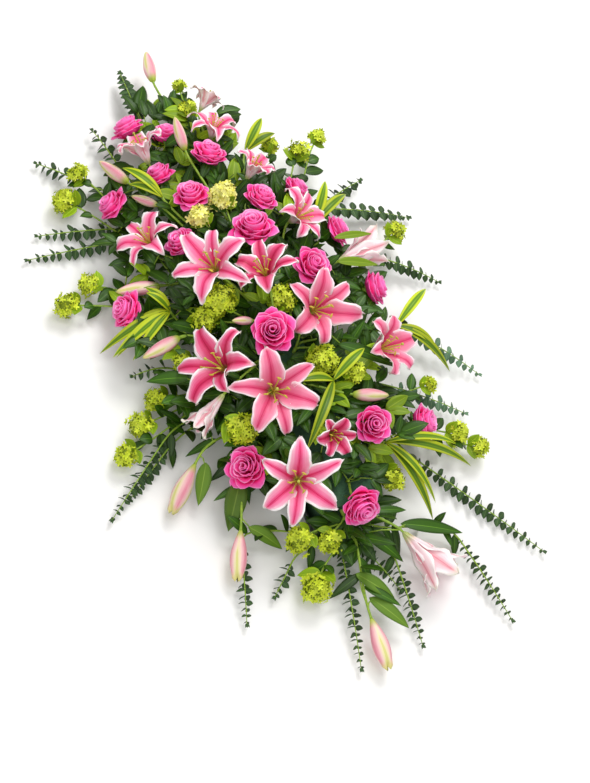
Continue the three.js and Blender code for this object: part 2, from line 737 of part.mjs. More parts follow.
function makeEucalyptus(fronds, name) {
  const feet = fronds.map(([x, y, z]) => new THREE.Vector3(x, y, z));
  const socket = socketFor(name, middleOf(feet));
  bore(socket, trunkRadius);
  const pieces = [trunk(socket)];
  fronds.forEach(([, , , x, y, z], k) => {
    const foot = feet[k];
    const tip = new THREE.Vector3(x, y, z);
    const run = tip.clone().sub(foot);
    const level = new THREE.Vector3(run.x, run.y, 0).normalize();
    const route = routeTo(socket, foot, level, 2);
    pieces.push(stem(route, route.map(() => twigRadius)));
    const middle = foot.clone().addScaledVector(level, run.length() * 0.5);
    const count = Math.max(4, Math.round(run.length() / leafSpacing));
    const points = new THREE.QuadraticBezierCurve3(foot, middle, tip).getPoints(count);
    points[0].lerp(route.at(-2), 0.08);
    const across = new THREE.Vector3().crossVectors(up, level);
    pieces.push(frondSkin(points, across, leafLength));
  });
  return fuse(pieces);
}

// Striped strap leaves

function makeStraps({ crown, tips }, name) {
  const top = new THREE.Vector3(...crown);
  const ends = tips.map((tip) => new THREE.Vector3(...tip));
  const axis = middleOf(ends).sub(top).setZ(0).normalize().multiplyScalar(0.5).add(up).normalize();
  const socket = socketFor(name, middleOf(ends).lerp(top, 0.5));
  bore(socket, stemRadius);
  const route = [socket.root, ...routeTo(socket, top, axis)];
  const pieces = [stem(route, route.map(() => stemRadius))];
  for (const end of ends) {
    const run = end.clone().sub(top);
    const foot = route.at(-1).clone().lerp(route.at(-2), 0.05);
    const arch = top.clone().lerp(end, 0.5).addScaledVector(up, 0.16 * run.length());
    const points = new THREE.QuadraticBezierCurve3(foot, arch, end).getPoints(5);
    const across = new THREE.Vector3().crossVectors(up, run).normalize();
    pieces.push(blade(points, across, [13, 18, 18, 11], leafThickness, 0.15));
  }
  return fuse(pieces);
}

// Assembly

// Makes a numbered node of each row
function addAll(rows, name, make, colour, roughness) {
  rows.forEach((row, k) => {
    const node = `${name}_${k + 1}`;
    add(node, make(row, node), colour(row), roughness);
  });
}

addAll(roses, 'rose', makeRose, () => colours.rose, 0.6);
addAll(lilies, 'lily', makeLily, () => colours.lily, 0.5);
addAll(heads, 'guelder', makeHeads, (row) => colours[row.tone], 0.7);
addAll(eucalyptus, 'eucalyptus', makeEucalyptus, () => colours.eucalyptus, 0.6);
addAll(straps, 'strap_leaves', makeStraps, () => colours.strap, 0.45);

function makeFoam() {
  const shape = roundedRectangle(foam.length, foam.width, foam.corner, 2);
  const run = { depth: foam.height, bevelEnabled: false, curveSegments: 1 };
  const block = new THREE.ExtrudeGeometry(shape, run);
  block.translate(0, 0, tray.wall + fit);
  return solid(block).subtract(wasm.Manifold.union(holes.map(solid))).simplify(0.02);
}

add('foam', makeFoam(), colours.foam, 0.95);
add('tray', makeTray(), colours.tray, 0.4);

export default group;
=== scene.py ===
import math
import random

import bmesh
import bpy
from mathutils import Matrix, Quaternion, Vector, noise


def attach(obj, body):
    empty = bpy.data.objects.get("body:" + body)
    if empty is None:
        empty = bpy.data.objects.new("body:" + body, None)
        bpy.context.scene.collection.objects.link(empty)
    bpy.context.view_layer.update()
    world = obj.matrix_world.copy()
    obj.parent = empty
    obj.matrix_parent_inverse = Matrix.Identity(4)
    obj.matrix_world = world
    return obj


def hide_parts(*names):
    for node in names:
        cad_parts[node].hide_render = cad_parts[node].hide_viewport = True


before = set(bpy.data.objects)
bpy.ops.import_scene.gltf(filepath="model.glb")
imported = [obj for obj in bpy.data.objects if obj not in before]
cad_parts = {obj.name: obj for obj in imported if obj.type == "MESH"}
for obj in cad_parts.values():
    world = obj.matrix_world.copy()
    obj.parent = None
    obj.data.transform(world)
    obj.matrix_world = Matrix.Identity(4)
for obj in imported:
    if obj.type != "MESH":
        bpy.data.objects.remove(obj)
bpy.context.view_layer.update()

mm = 0.001
up = Vector((0, 0, 1))
goldenAngle = 2.39996  # turns each spot from the one before, so that they spread evenly
print("frame loaded")


# Materials

def linear(code):
    # an sRGB hex value as a linear colour
    shares = [int(code[k:k + 2], 16) / 255 for k in (1, 3, 5)]
    return [c / 12.92 if c <= 0.04045 else ((c + 0.055) / 1.055) ** 2.4 for c in shares] + [1.0]


def addNode(tree, kind, settings, *links):
    # settings go to inputs by name or number, to a ramp's stops, or to the node itself; a link is
    # (node or socket from, input to), and a node stands for its first output
    node = tree.nodes.new("ShaderNode" + kind)
    for key, value in settings.items():
        if key == "stops":
            elements = node.color_ramp.elements
            while len(elements) < len(value):
                elements.new(0.5)
            for element, (position, code) in zip(elements, value):
                element.position = position
                element.color = linear(code)
        elif isinstance(key, int) or key in node.inputs:
            node.inputs[key].default_value = value
        else:
            setattr(node, key, value)
    for source, target in links:
        start = source.outputs[0] if isinstance(source, bpy.types.Node) else source
        tree.links.new(start, node.inputs[target])
    return node


def addMath(tree, operation, settings, *links):
    return addNode(tree, "Math", {"operation": operation, **settings}, *links)


def addNoise(tree, place, scale, detail, stretch=None):
    if stretch:
        place = addNode(tree, "Mapping", {"Scale": stretch}, (place, 0))
    return addNode(tree, "TexNoise", {"Scale": scale, "Detail": detail}, (place, 0))


def newMaterial(name, settings):
    # a material with its Principled shader's own constants; gives the material, tree and shader
    material = bpy.data.materials.new(name)
    material.use_nodes = True
    tree = material.node_tree
    shader = tree.nodes["Principled BSDF"]
    for key, value in settings.items():
        shader.inputs[key].default_value = value
    return material, tree, shader


def thinMaterial(name, roughness, refraction, specular, weight, radius):
    # a living skin, which a little light passes through
    return newMaterial(name, {
        "Roughness": roughness, "IOR": refraction, "Specular IOR Level": specular,
        "Subsurface Weight": weight, "Subsurface Radius": radius, "Subsurface Scale": 0.5})


def sheetPlace(tree, tepals=1):
    # where a point lies on a petal or leaf: its map, how far from foot to tip, how far from the
    # middle line, and the whole petal's tone; a bud's skin holds several tepals side by side
    uv = addNode(tree, "UVMap", {"uv_map": "sheet"})
    parts = addNode(tree, "SeparateXYZ", {}, (uv, 0))
    turned = addMath(tree, "MULTIPLY", {1: float(tepals)}, (parts, 0))
    fold = addMath(tree, "PINGPONG", {1: 0.5}, (turned, 0))
    edge = addMath(tree, "MULTIPLY_ADD", {1: -2.0, 2: 1.0}, (fold, 0))
    tone = addNode(tree, "Attribute", {"attribute_name": "tone"})
    return uv, parts.outputs[1], edge, tone.outputs["Fac"]


def finishShader(tree, shader, colour, tone, spread, pattern, depth, step):
    # tone lightens or darkens a whole petal, and the pattern stands out in relief by step mm
    shade = addNode(tree, "MapRange", {3: 1 - spread, 4: 1 + spread}, (tone, 0))
    varied = addNode(tree, "HueSaturation", {}, (shade, "Value"), (colour, "Color"))
    relief = addNode(tree, "Bump", {"Strength": depth, "Distance": step * mm}, (pattern, "Height"))
    tree.links.new(varied.outputs[0], shader.inputs["Base Color"])
    tree.links.new(relief.outputs[0], shader.inputs["Normal"])


def finishPetal(tree, shader, colour, tone, spread, uv, veins, depth):
    # fine veins run from the foot of a petal or leaf to its tip
    streaks = addNoise(tree, uv, 1.0, 3.0, (veins, 2.5, 1))
    finishShader(tree, shader, colour, tone, spread, streaks, depth, 0.4)


def petalMaterial(name, stops, roughness):
    # fresh rose petal: thin, moist and velvety, so soft highlights and a light rim; the colour runs paler
    # toward the rim, partly the petal's own paler edge and partly a painted highlight
    material, tree, shader = thinMaterial(name, roughness, 1.42, 0.15, 0.15, (0.004, 0.0015, 0.002))
    uv, along, edge, tone = sheetPlace(tree)
    patches = addNoise(tree, uv, 3.0, 2.0)
    shifted = addMath(tree, "MULTIPLY_ADD", {1: 0.12, 2: -0.06}, (patches, 0))
    place = addMath(tree, "ADD", {}, (along, 0), (shifted, 1))
    # paler toward the rim: partly the petal's own colour, partly painted highlight
    colour = addNode(tree, "ValToRGB", {"stops": stops}, (place, 0))
    finishPetal(tree, shader, colour, tone, 0.08, uv, 26, 0.35)
    return material


def lilyMaterial(name, across, tip, throat, spread, tepals=1):
    # fresh lily tepal: waxy and smooth, a deep rib, blush fading to a white ruffled margin;
    # across holds the colours from the rib to the margin
    material, tree, shader = thinMaterial(name, 0.4, 1.42, 0.3, 0.1, (0.004, 0.002, 0.0025))
    uv, along, edge, tone = sheetPlace(tree, tepals)
    patches = addNoise(tree, uv, 1.0, 3.0, (7, 3, 1))
    fibres = addNoise(tree, uv, 1.0, 2.0, (38, 2, 1))
    streaked = addMath(tree, "MULTIPLY_ADD", {1: 0.5, 2: -0.42}, (fibres, 0))
    shifted = addMath(tree, "MULTIPLY_ADD", {1: 0.34}, (patches, 0), (streaked, 2))
    atFoot = addNode(tree, "MapRange", {1: 0.1, 2: 0.5, 3: 0.66, 4: 1.0}, (along, 0))
    paler = addNode(tree, "MapRange", {1: 0.35, 2: 1.0, 4: 0.3}, (along, 0))
    wider = addMath(tree, "MULTIPLY_ADD", {}, (paler, 0), (edge, 1), (shifted, 2))
    reach = addMath(tree, "MULTIPLY_ADD", {}, (edge, 0), (atFoot, 1), (wider, 2))
    ramp = addNode(tree, "ValToRGB", {"stops": across}, (reach, 0))
    soft = {"interpolation_type": "SMOOTHSTEP"}
    towardTip = addNode(tree, "MapRange", {1: 0.8, 2: 1.0, **soft}, (along, 0))
    tipped = addNode(tree, "Mix", {"data_type": "RGBA", 7: linear(tip)}, (towardTip, 0), (ramp, 6))
    inThroat = addNode(tree, "MapRange", {1: 0.26, 2: 0.06, **soft}, (along, 0))
    colour = addNode(tree, "Mix", {"data_type": "RGBA", 7: linear(throat)},
                     (inThroat, 0), (tipped.outputs[2], 6))
    finishPetal(tree, shader, colour.outputs[2], tone, spread, uv, 34, 0.5)
    return material


def leafMaterial(name, middle, body, rim, roughness, veins, spread, rimFrom=0.62):
    # waxed leaf skin: a satin face with parallel veins, lit a little from behind
    material, tree, shader = thinMaterial(name, roughness, 1.45, 0.3, 0.05, (0.001, 0.002, 0.0005))
    uv, along, edge, tone = sheetPlace(tree)
    across = addNode(tree, "ValToRGB", {"stops": [
        (0.0, middle), (0.07, body), (rimFrom, body), (rimFrom + 0.18, rim), (1.0, rim)]}, (edge, 0))
    finishPetal(tree, shader, across, tone, spread, uv, veins, 0.6)
    return material


def plainMaterial(name, low, high, size, roughness, bump):
    # a soft mottle between two tones; size is the mottle's grain in mm
    material, tree, shader = newMaterial(name, {"Roughness": roughness})
    place = addNode(tree, "TexCoord", {})
    grain = addNoise(tree, place.outputs["Object"], 1 / (size * mm), 4.0)
    tone = addNode(tree, "Attribute", {"attribute_name": "tone"})
    colour = addNode(tree, "ValToRGB", {"stops": [(0.3, low), (0.7, high)]}, (grain, 0))
    finishShader(tree, shader, colour, tone.outputs["Fac"], 0.18, grain, bump, 0.5)
    return material


# both faces of a rose petal turn paler toward the rim: partly their own colour, partly painted highlight
# on the rims
rosePetal = petalMaterial("RosePetal", [
    (0.0, "#ff0f68"), (0.35, "#ff2584"), (0.68, "#ff3d9a"), (0.86, "#ff65b5"), (1.0, "#ffb4df")], 0.5)
roseBack = petalMaterial("RosePetalBack", [
    (0.0, "#a3ad52"), (0.1, "#f5368a"), (0.6, "#ff409c"), (1.0, "#ff7cc2")], 0.55)
pinkTepal = [
    (0.0, "#d02459"), (0.07, "#dc3a6f"), (0.2, "#ea5f90"), (0.5, "#ef84a8"), (0.77, "#f2a7be"),
    (0.91, "#f9e2e5"), (1.0, "#fdf6f5")]
blushTepal = [
    (0.0, "#c42a58"), (0.1, "#d84874"), (0.3, "#e36a8e"), (0.7, "#eb86a2"), (0.9, "#f3b0c0"),
    (1.0, "#fce6ea")]
deepTepal = [
    (0.0, "#b01244"), (0.08, "#c42354"), (0.3, "#d63f6e"), (0.6, "#e0628b"), (0.84, "#ea97b0"),
    (0.95, "#f8e4e8"), (1.0, "#fdf5f5")]
lilyPetal = lilyMaterial("LilyPetal", pinkTepal, "#fff3f4", "#c7c765", 0.06)
deepPetal = lilyMaterial("DeepLilyPetal", deepTepal, "#fdeef0", "#a9b24e", 0.06)
blushPetal = lilyMaterial("BlushLilyPetal", blushTepal, "#fbe3e8", "#bfc45a", 0.06)
lilyBack = lilyMaterial("LilyPetalBack", [
    (0.0, "#e08a98"), (0.1, "#eeaeb6"), (0.4, "#f8ced4"), (0.8, "#fee8ea"), (1.0, "#fff6f2")],
    "#f6efdc", "#b7c27a", 0.05)
budSkin = lilyMaterial("LilyBud", [
    (0.0, "#d98797"), (0.3, "#e6a9b0"), (0.62, "#efcfc4"), (0.86, "#e8dcae"), (1.0, "#d6d284")],
    "#d9d384", "#a9bb45", 0.05, 3)
darkLeaf = leafMaterial("GlossyDarkLeaf", "#5f8a26", "#2f520c", "#254208", 0.4, 18, 0.45)
darkLeafBack = leafMaterial("DarkLeafUnderside", "#86a03c", "#587820", "#4d6b1c", 0.55, 18, 0.3)
strapLeaf = leafMaterial("StripedStrapLeaf", "#84a01e", "#557c14", "#b3c024", 0.4, 40, 0.3, 0.4)
eucalyptusLeaf = leafMaterial("EucalyptusLeaf", "#6f8550", "#39532e", "#304827", 0.6, 14, 0.3)
greyLeaf = leafMaterial("GreyEucalyptusLeaf", "#8fa685", "#5f8063", "#557558", 0.65, 14, 0.3)
freshLeaf = leafMaterial("FreshLobedLeaf", "#b3c936", "#7c9c12", "#8caa18", 0.48, 12, 0.35)
greenStem = plainMaterial("GreenStem", "#6f9426", "#9cb937", 6, 0.5, 0.2)
anther = plainMaterial("Anther", "#b3a02c", "#d0bb48", 2, 0.8, 0.4)
filament = plainMaterial("StamenFilament", "#a8ad2c", "#d3cf55", 3, 0.45, 0.1)
limeFloret = plainMaterial("LimeFloret", "#b0c516", "#dde73c", 9, 0.6, 0.3)
paleFloret = plainMaterial("PaleFloret", "#ebe84e", "#fffcb0", 9, 0.6, 0.3)
headCore = plainMaterial("HeadCore", "#6c7f12", "#8f9f1c", 4, 0.8, 0.4)
wetFoam = plainMaterial("WetFloralFoam", "#2c4d35", "#3f6a48", 1.6, 0.95, 0.8)
trayPlastic = plainMaterial("MouldedTrayPlastic", "#171d1a", "#1f2723", 1.2, 0.42, 0.15)
print("materials made")


# Building

def newPiece():
    # a mesh in millimetres, with a place along each petal or leaf and a tone for it
    bm = bmesh.new()
    bm.loops.layers.uv.new("sheet")
    bm.verts.layers.float.new("tone")
    return bm


def markMade(bm, verts, finish, tone):
    layer = bm.verts.layers.float["tone"]
    for vert in verts:
        vert[layer] = tone
    for face in {face for vert in verts for face in vert.link_faces}:
        face.material_index = finish
        face.smooth = True


def addSheet(bm, across, along, shape, finish, tone):
    # shape gives the place of a point from where it is across, -1 to 1, and along, 0 to 1
    made = bmesh.ops.create_grid(bm, x_segments=across, y_segments=along, size=0.5,
                                 calc_uvs=True)["verts"]
    markMade(bm, made, finish, tone)
    for vert in made:
        vert.co = shape(2 * vert.co.x, vert.co.y + 0.5)
    return made


def addBall(bm, centre, radius, finish, tone):
    made = bmesh.ops.create_icosphere(bm, subdivisions=2, radius=radius,
                                      matrix=Matrix.Translation(centre))["verts"]
    markMade(bm, made, finish, tone)
    return made


def addTube(bm, points, radii, sides, finish, tone=0.5):
    # a ring at each point, carried along without a twist
    rings = []
    across = Vector((1, 0.2, 0))
    for k, (point, radius) in enumerate(zip(points, radii)):
        ahead = (points[min(k + 1, len(points) - 1)] - points[max(k - 1, 0)]).normalized()
        across = (across - ahead * across.dot(ahead)).normalized()
        turned = Matrix((across, ahead.cross(across), ahead)).transposed().to_4x4()
        made = bmesh.ops.create_circle(bm, segments=sides, radius=radius,
                                       matrix=Matrix.Translation(point) @ turned)["verts"]
        rings.append(made)
    for near, far in zip(rings, rings[1:]):
        edges = {edge for vert in near + far for edge in vert.link_edges if not edge.link_faces
                 or edge.other_vert(vert) in near}
        loops = [edge for edge in edges
                 if all(v in near for v in edge.verts) or all(v in far for v in edge.verts)]
        bmesh.ops.bridge_loops(bm, edges=loops)
    for ring in (rings[0], rings[-1]):
        bmesh.ops.contextual_create(bm, geom=ring)
    markMade(bm, [vert for ring in rings for vert in ring], finish, tone)


def addObject(name, data):
    made = bpy.data.objects.new(name, data)
    bpy.context.scene.collection.objects.link(made)
    return made


def addMesh(name, bm, materials):
    mesh = bpy.data.meshes.new(name)
    bm.to_mesh(mesh)
    bm.free()
    for material in materials:
        mesh.materials.append(material)
    return addObject(name, mesh)


def finishPiece(name, bm, materials, node, thickness=0.0):
    # each finish of a sheet is a pair of materials, its back and its face
    bmesh.ops.scale(bm, vec=(mm, mm, mm), verts=bm.verts)
    piece = addMesh(name, bm, materials)
    if thickness:
        wall = piece.modifiers.new("Thickness", "SOLIDIFY")
        wall.thickness = thickness * mm
        wall.offset = -1
        wall.material_offset = 1
    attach(piece, "root")
    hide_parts(node)


def polar(radius, angle, height=0):
    return Vector((radius * math.cos(angle), radius * math.sin(angle), height))


def facing(turn, lean):
    # the direction turned about +Z and leaning from +Z by these degrees
    lean = math.radians(lean)
    return polar(math.sin(lean), math.radians(turn), math.cos(lean))


def setAt(place, axis, roll=0.0):
    # carries a shape made along +Z to a place, along an axis and rolled about it
    turned = up.rotation_difference(axis).to_matrix().to_4x4()
    return Matrix.Translation(place) @ turned @ Matrix.Rotation(math.radians(roll), 4, "Z")


def splineAt(points, share):
    # a smooth line through points, at a share of its length
    spot = min(max(share, 0.0), 1.0) * (len(points) - 1)
    k = min(int(spot), len(points) - 2)
    t = spot - k
    a, b, c, d = (points[min(max(k + j, 0), len(points) - 1)] for j in (-1, 0, 1, 2))
    return 0.5 * (2 * b + (c - a) * t + (2 * a - 5 * b + 4 * c - d) * t * t
                  + (3 * b - a - 3 * c + d) * t ** 3)


def smooth(low, high, value):
    share = min(max((value - low) / (high - low), 0.0), 1.0)
    return share * share * (3 - 2 * share)


# Stems

stems = {
    "foamTop": 87.4, "foamEnd": 345, "foamSide": 57,
    "depth": 34, "rise": 7, "steps": 14,
    "radius": 2.6, "twig": 1.9, "sides": 8,
    "trunk": 4, "trunkRise": 11,  # of the stalk in a hole that several stems part from
}

# where the stems enter the foam: x and y on its top, or x, y and z on a side
mouths = {
    "rose": {
        1: [-345, -16, 70], 2: [-345, 0, 78], 3: [-262, 10], 4: [-252, -25], 6: [-245, -57, 44],
        9: [-138, -22], 12: [-70, 42], 14: [14, -26], 15: [-95, -57, 50], 17: [126, 42], 19: [300, 8],
    },
    "lily": {
        2: [-38, -2], 7: [-345, -40, 72], 8: [-192, -43], 9: [-325, 34], 10: [-138, 44], 11: [-222, 14],
        12: [345, 36, 64], 13: [345, -4, 48],
    },
    "guelder": {
        2: [-62, -30], 4: [20, -57, 50], 5: [-285, -57, 40], 6: [-178, -57, 38], 8: [-95, 57, 42],
        9: [145, 57, 50], 10: [345, -18, 64], 11: [-345, 17, 62],
    },
    "eucalyptus": {
        1: [-345, -32, 46], 2: [-205, -57, 40], 3: [64, -57, 40], 4: [345, -36, 44], 5: [345, 24, 42],
    },
    "strap_leaves": {
        3: [-225, -30], 4: [-152, 57, 62], 6: [-14, 44], 7: [165, 40],
    },
}


def socketFor(name, place):
    # the mouth of a stem's hole, the way out of it and the stem's foot
    end, side = stems["foamEnd"], stems["foamSide"]
    along = min(max(place.x * 0.5, 18 - end), end - 18)
    across = min(max(place.y * 0.22, 14 - side), side - 14)
    low = place.z < 0.45 * abs(place.y)
    byRule = (along, math.copysign(side, place.y), 42) if low else (along, across)
    family, number = name.rsplit("_", 1)
    mouth = Vector((*mouths[family].get(int(number), byRule), stems["foamTop"])[:3])
    out = Vector((math.copysign(0.12, place.x), math.copysign(0.12, place.y), 1)).normalized()
    if abs(mouth.x) >= end:
        out = Vector((math.copysign(1, mouth.x), 0, 0))
    elif abs(mouth.y) >= side:
        out = Vector((0, math.copysign(1, mouth.y), 0))
    return mouth, out, mouth - out * stems["depth"]


def routeTo(socket, place, axis):
    # the bend of a stem from the foam to a place, where it arrives along an axis
    mouth, out, root = socket
    lip = mouth + out * stems["rise"]
    pull = 0.36 * (place - lip).length
    onTop = out.z > 0.5
    lift = min(pull, 22 + 0.5 * max(place.z - lip.z, 0)) if onTop else pull
    landing = min(pull, 26) if onTop else pull
    corners = (lip, lip + out * lift, place - axis * landing, place)
    line = []
    for k in range(stems["steps"] + 1):
        t = k / stems["steps"]
        shares = ((1 - t) ** 3, 3 * t * (1 - t) ** 2, 3 * t * t * (1 - t), t ** 3)
        line.append(sum((corner * share for corner, share in zip(corners, shares)), Vector()))
    return line


# every stem's node, line and leaves, and the middle, radius and axis of every bloom, for the
# leaves between; leaves are their length, their width as a share of it, where they start and
# end along the stem, and the step between them
stemLines = []
blooms = []


def highest(place):
    # how high a leaf can stand there without lying over a bloom
    return min([spot.z - 0.6 * radius for spot, radius, axis in blooms
                if (place.xy - spot.xy).length < 0.85 * radius], default=place.z)


def hides(place):
    # whether a leaf there stands before the face of a bloom
    for spot, radius, axis in blooms:
        ahead = (place - spot).dot(axis)
        if ahead > -0.35 * radius and (place - spot - axis * ahead).length < 0.9 * radius:
            return True
    return False


def lowest(place, clear=1.5):
    # what lies on the surface stays on it
    return Vector((place.x, place.y, max(place.z, clear)))


def arcAt(foot, bend, tip, t):
    return foot * (1 - t) ** 2 + bend * 2 * t * (1 - t) + tip * t * t


def leafShape(foot, tip, width, arch, fold=0.14, twist=0.0, widest=0.8, roll=0.0):
    # a blade from foot to tip, arched up in the middle, folded along its rib and rolled about it
    run = tip - foot
    bend = foot.lerp(tip, 0.5) + up * arch
    level = up.cross(run).normalized() if abs(run.normalized().z) < 0.98 else Vector((1, 0, 0))
    level = Quaternion(run.normalized(), roll) @ level

    def shape(u, v):
        spot = arcAt(foot, bend, tip, v)
        ahead = ((bend - foot) * (1 - v) + (tip - bend) * v).normalized()
        side = Quaternion(ahead, twist * v) @ (level - ahead * level.dot(ahead)).normalized()
        over = ahead.cross(side)
        half = 0.5 * width * max(math.sin(math.pi * v ** widest), 0.0) ** 0.85 + 0.7 * (1 - v)
        return lowest(spot + side * half * u + over * half * fold * 2 * abs(u))
    return shape


def domeHeight(place):
    # the mass of leaves stays under the flowers
    share = 1 - (place.x / 700) ** 2 - (place.y / 330) ** 2
    return 40 + 130 * math.sqrt(max(share, 0.0))


def dressStem(bm, line, leaves, dice):
    # leaves that stand off a stem in turn around it, under the flowers
    length, width, start, end, every = leaves
    reach = sum((b - a).length for a, b in zip(line, line[1:]))
    count = int(reach * (end - start) / every)
    spin = dice.uniform(0, 6.28)
    for k in range(count):
        share = start + (end - start) * (k + dice.random()) / count
        foot = splineAt(line, share)
        ahead = (splineAt(line, share + 0.05) - splineAt(line, share - 0.05)).normalized()
        spin += 2.4
        side = Quaternion(ahead, spin) @ ahead.orthogonal().normalized()
        size = dice.uniform(*length)
        way = (side * 0.9 + ahead * 0.55 + up * 0.25).normalized()
        tip = foot + way * size
        tip.z = max(min(tip.z, max(domeHeight(tip), foot.z)), 3)
        twist = dice.uniform(-0.5, 0.5)
        if not hides(tip) and not hides(foot.lerp(tip, 0.6)):
            shape = leafShape(foot, tip, size * width, size * 0.1, 0.1, twist)
            addSheet(bm, 4, 8, shape, 0, dice.random())


def addStem(bm, socket, line, radius):
    addTube(bm, [socket[2], *line], [radius] * (len(line) + 1), stems["sides"], 0)


def addTrunk(bm, socket):
    mouth, out, root = socket
    addTube(bm, [root, mouth + out * stems["trunkRise"]], [stems["trunk"]] * 2, 10, 0)


# Roses

rose = {
    "seed": 100, "across": 8, "along": 9, "thickness": 0.7,
    "leaves": ((38, 60), 0.55, 0.15, 0.92, 20),
    # each layer from the heart out: petals, rim, height, half width in degrees, curl and point
    "layers": [
        (3, 0.055, 0.48, 125, 0.016, 0.0), (3, 0.115, 0.5, 108, 0.03, 0.2),
        (4, 0.19, 0.48, 82, 0.042, 0.5), (5, 0.265, 0.43, 60, 0.055, 0.9),
        (5, 0.34, 0.36, 52, 0.066, 1.1), (5, 0.37, 0.28, 52, 0.072, 1.2)],
    # middle, width, and the turn and lean of the axis in degrees
    "blooms": [
        [-650, -95, 75, 92, 205, 55], [-600, -20, 95, 84, 170, 35], [-490, 30, 150, 94, 150, 20],
        [-480, -95, 120, 82, 215, 40], [-385, -65, 165, 92, 220, 20], [-446, -215, 90, 88, 240, 62],
        [-325, 75, 190, 88, 120, 15], [-250, 10, 215, 112, 208, 18], [-285, -130, 150, 85, 240, 40],
        [-370, 205, 120, 82, 100, 45], [-244, 250, 120, 86, 80, 50], [-140, 115, 185, 100, 30, 15],
        [-95, 280, 100, 94, 70, 55], [5, -60, 220, 106, 310, 25], [-194, -279, 81, 92, 255, 62],
        [225, 90, 150, 93, 340, 25], [230, 239, 90, 96, 60, 52], [220, -190, 115, 98, 280, 40],
        [387, -6, 132, 100, 358, 62],
    ],
}


def rosePetalShape(width, layer, turn, dice):
    # a cupped petal; the outer ones roll back at their sides, which leaves a point in the middle
    petals, rim, top, half, curl, point = layer
    rim *= dice.uniform(0.92, 1.06)
    top *= dice.uniform(0.95, 1.03)
    half = math.radians(half) * dice.uniform(0.92, 1.08)
    foot = 0.02 + 0.2 * rim
    droop = dice.uniform(0.4, 1.3)
    tuck = dice.uniform(0.06, 0.12) + 0.5 * max(0.25 - rim, 0)
    seed = Vector((dice.uniform(0, 50), rim * 9, 0))

    def shape(u, v):
        flare = 1 - (1 - v) ** 2
        corner = 1 - abs(u) ** 1.25
        radius = foot + (rim - foot) * flare + 0.12 * rim * math.sin(math.pi * v) * (1 - v)
        height = 0.03 + (top - 0.03) * v ** 1.1
        lip = smooth(0.58, 1.0, v) ** 1.4
        radius += curl * droop * lip * (0.4 + 0.95 * corner)
        radius *= 1 + tuck * u - 0.27 * point * (1 - corner) * v
        height -= (0.6 + 0.5 * point) * curl * droop * lip * (0.3 + corner)
        height -= (0.04 + 0.045 * point) * abs(u) ** 2 * v
        spread = 0.5 + 0.5 * math.sin(min(v / 0.7, 1) * math.pi / 2)
        angle = turn + half * u * spread
        wave = noise.noise(seed + Vector((u * 1.5, v * 1.6, 0)))
        radius += (0.012 + 0.09 * rim) * wave * v
        height += 0.05 * wave * v
        return polar(radius, angle, height) * width
    return shape


def makeRose(k, name, dice, x, y, z, width, turn, lean):
    axis = facing(turn, lean)
    centre = Vector((x, y, z))
    calyx = centre - axis * 0.4 * width
    neck = calyx - axis * 0.12 * width
    socket = socketFor(name, centre)
    line = routeTo(socket, neck, axis)
    petals = newPiece()
    for n, layer in enumerate(rose["layers"]):
        for m in range(layer[0]):
            around = math.radians(360 * (m + dice.uniform(-0.12, 0.12)) / layer[0] + 47 * n + 31 * k)
            shape = rosePetalShape(width, layer, around, dice)
            addSheet(petals, rose["across"], rose["along"], shape, 0, dice.random())
    move = setAt(calyx, axis)
    bmesh.ops.transform(petals, matrix=move, verts=petals.verts)
    for n in range(5):
        way = polar(1, math.radians(72 * n + 20))
        foot, tip = way * 0.09 * width, way * 0.3 * width - up * 0.04 * width
        addSheet(petals, 4, 6, leafShape(move @ foot, move @ tip, 0.1 * width, -2), 2, dice.random())
    stemLines.append((name, line, rose["leaves"]))
    blooms.append((centre, 0.5 * width, axis))
    finishPiece(f"rose{k}Petals", petals, [roseBack, rosePetal, darkLeafBack, darkLeaf], name,
                rose["thickness"])
    stalk = newPiece()
    points = [socket[2], *line, calyx - axis * 0.05 * width, calyx, calyx + axis * 0.08 * width]
    radii = [stems["radius"]] * (len(line) + 1) + [0.07 * width, 0.1 * width, 0.05 * width]
    addTube(stalk, points, radii, 10, 0)
    finishPiece(f"rose{k}Stem", stalk, [greenStem], name)


# Lilies

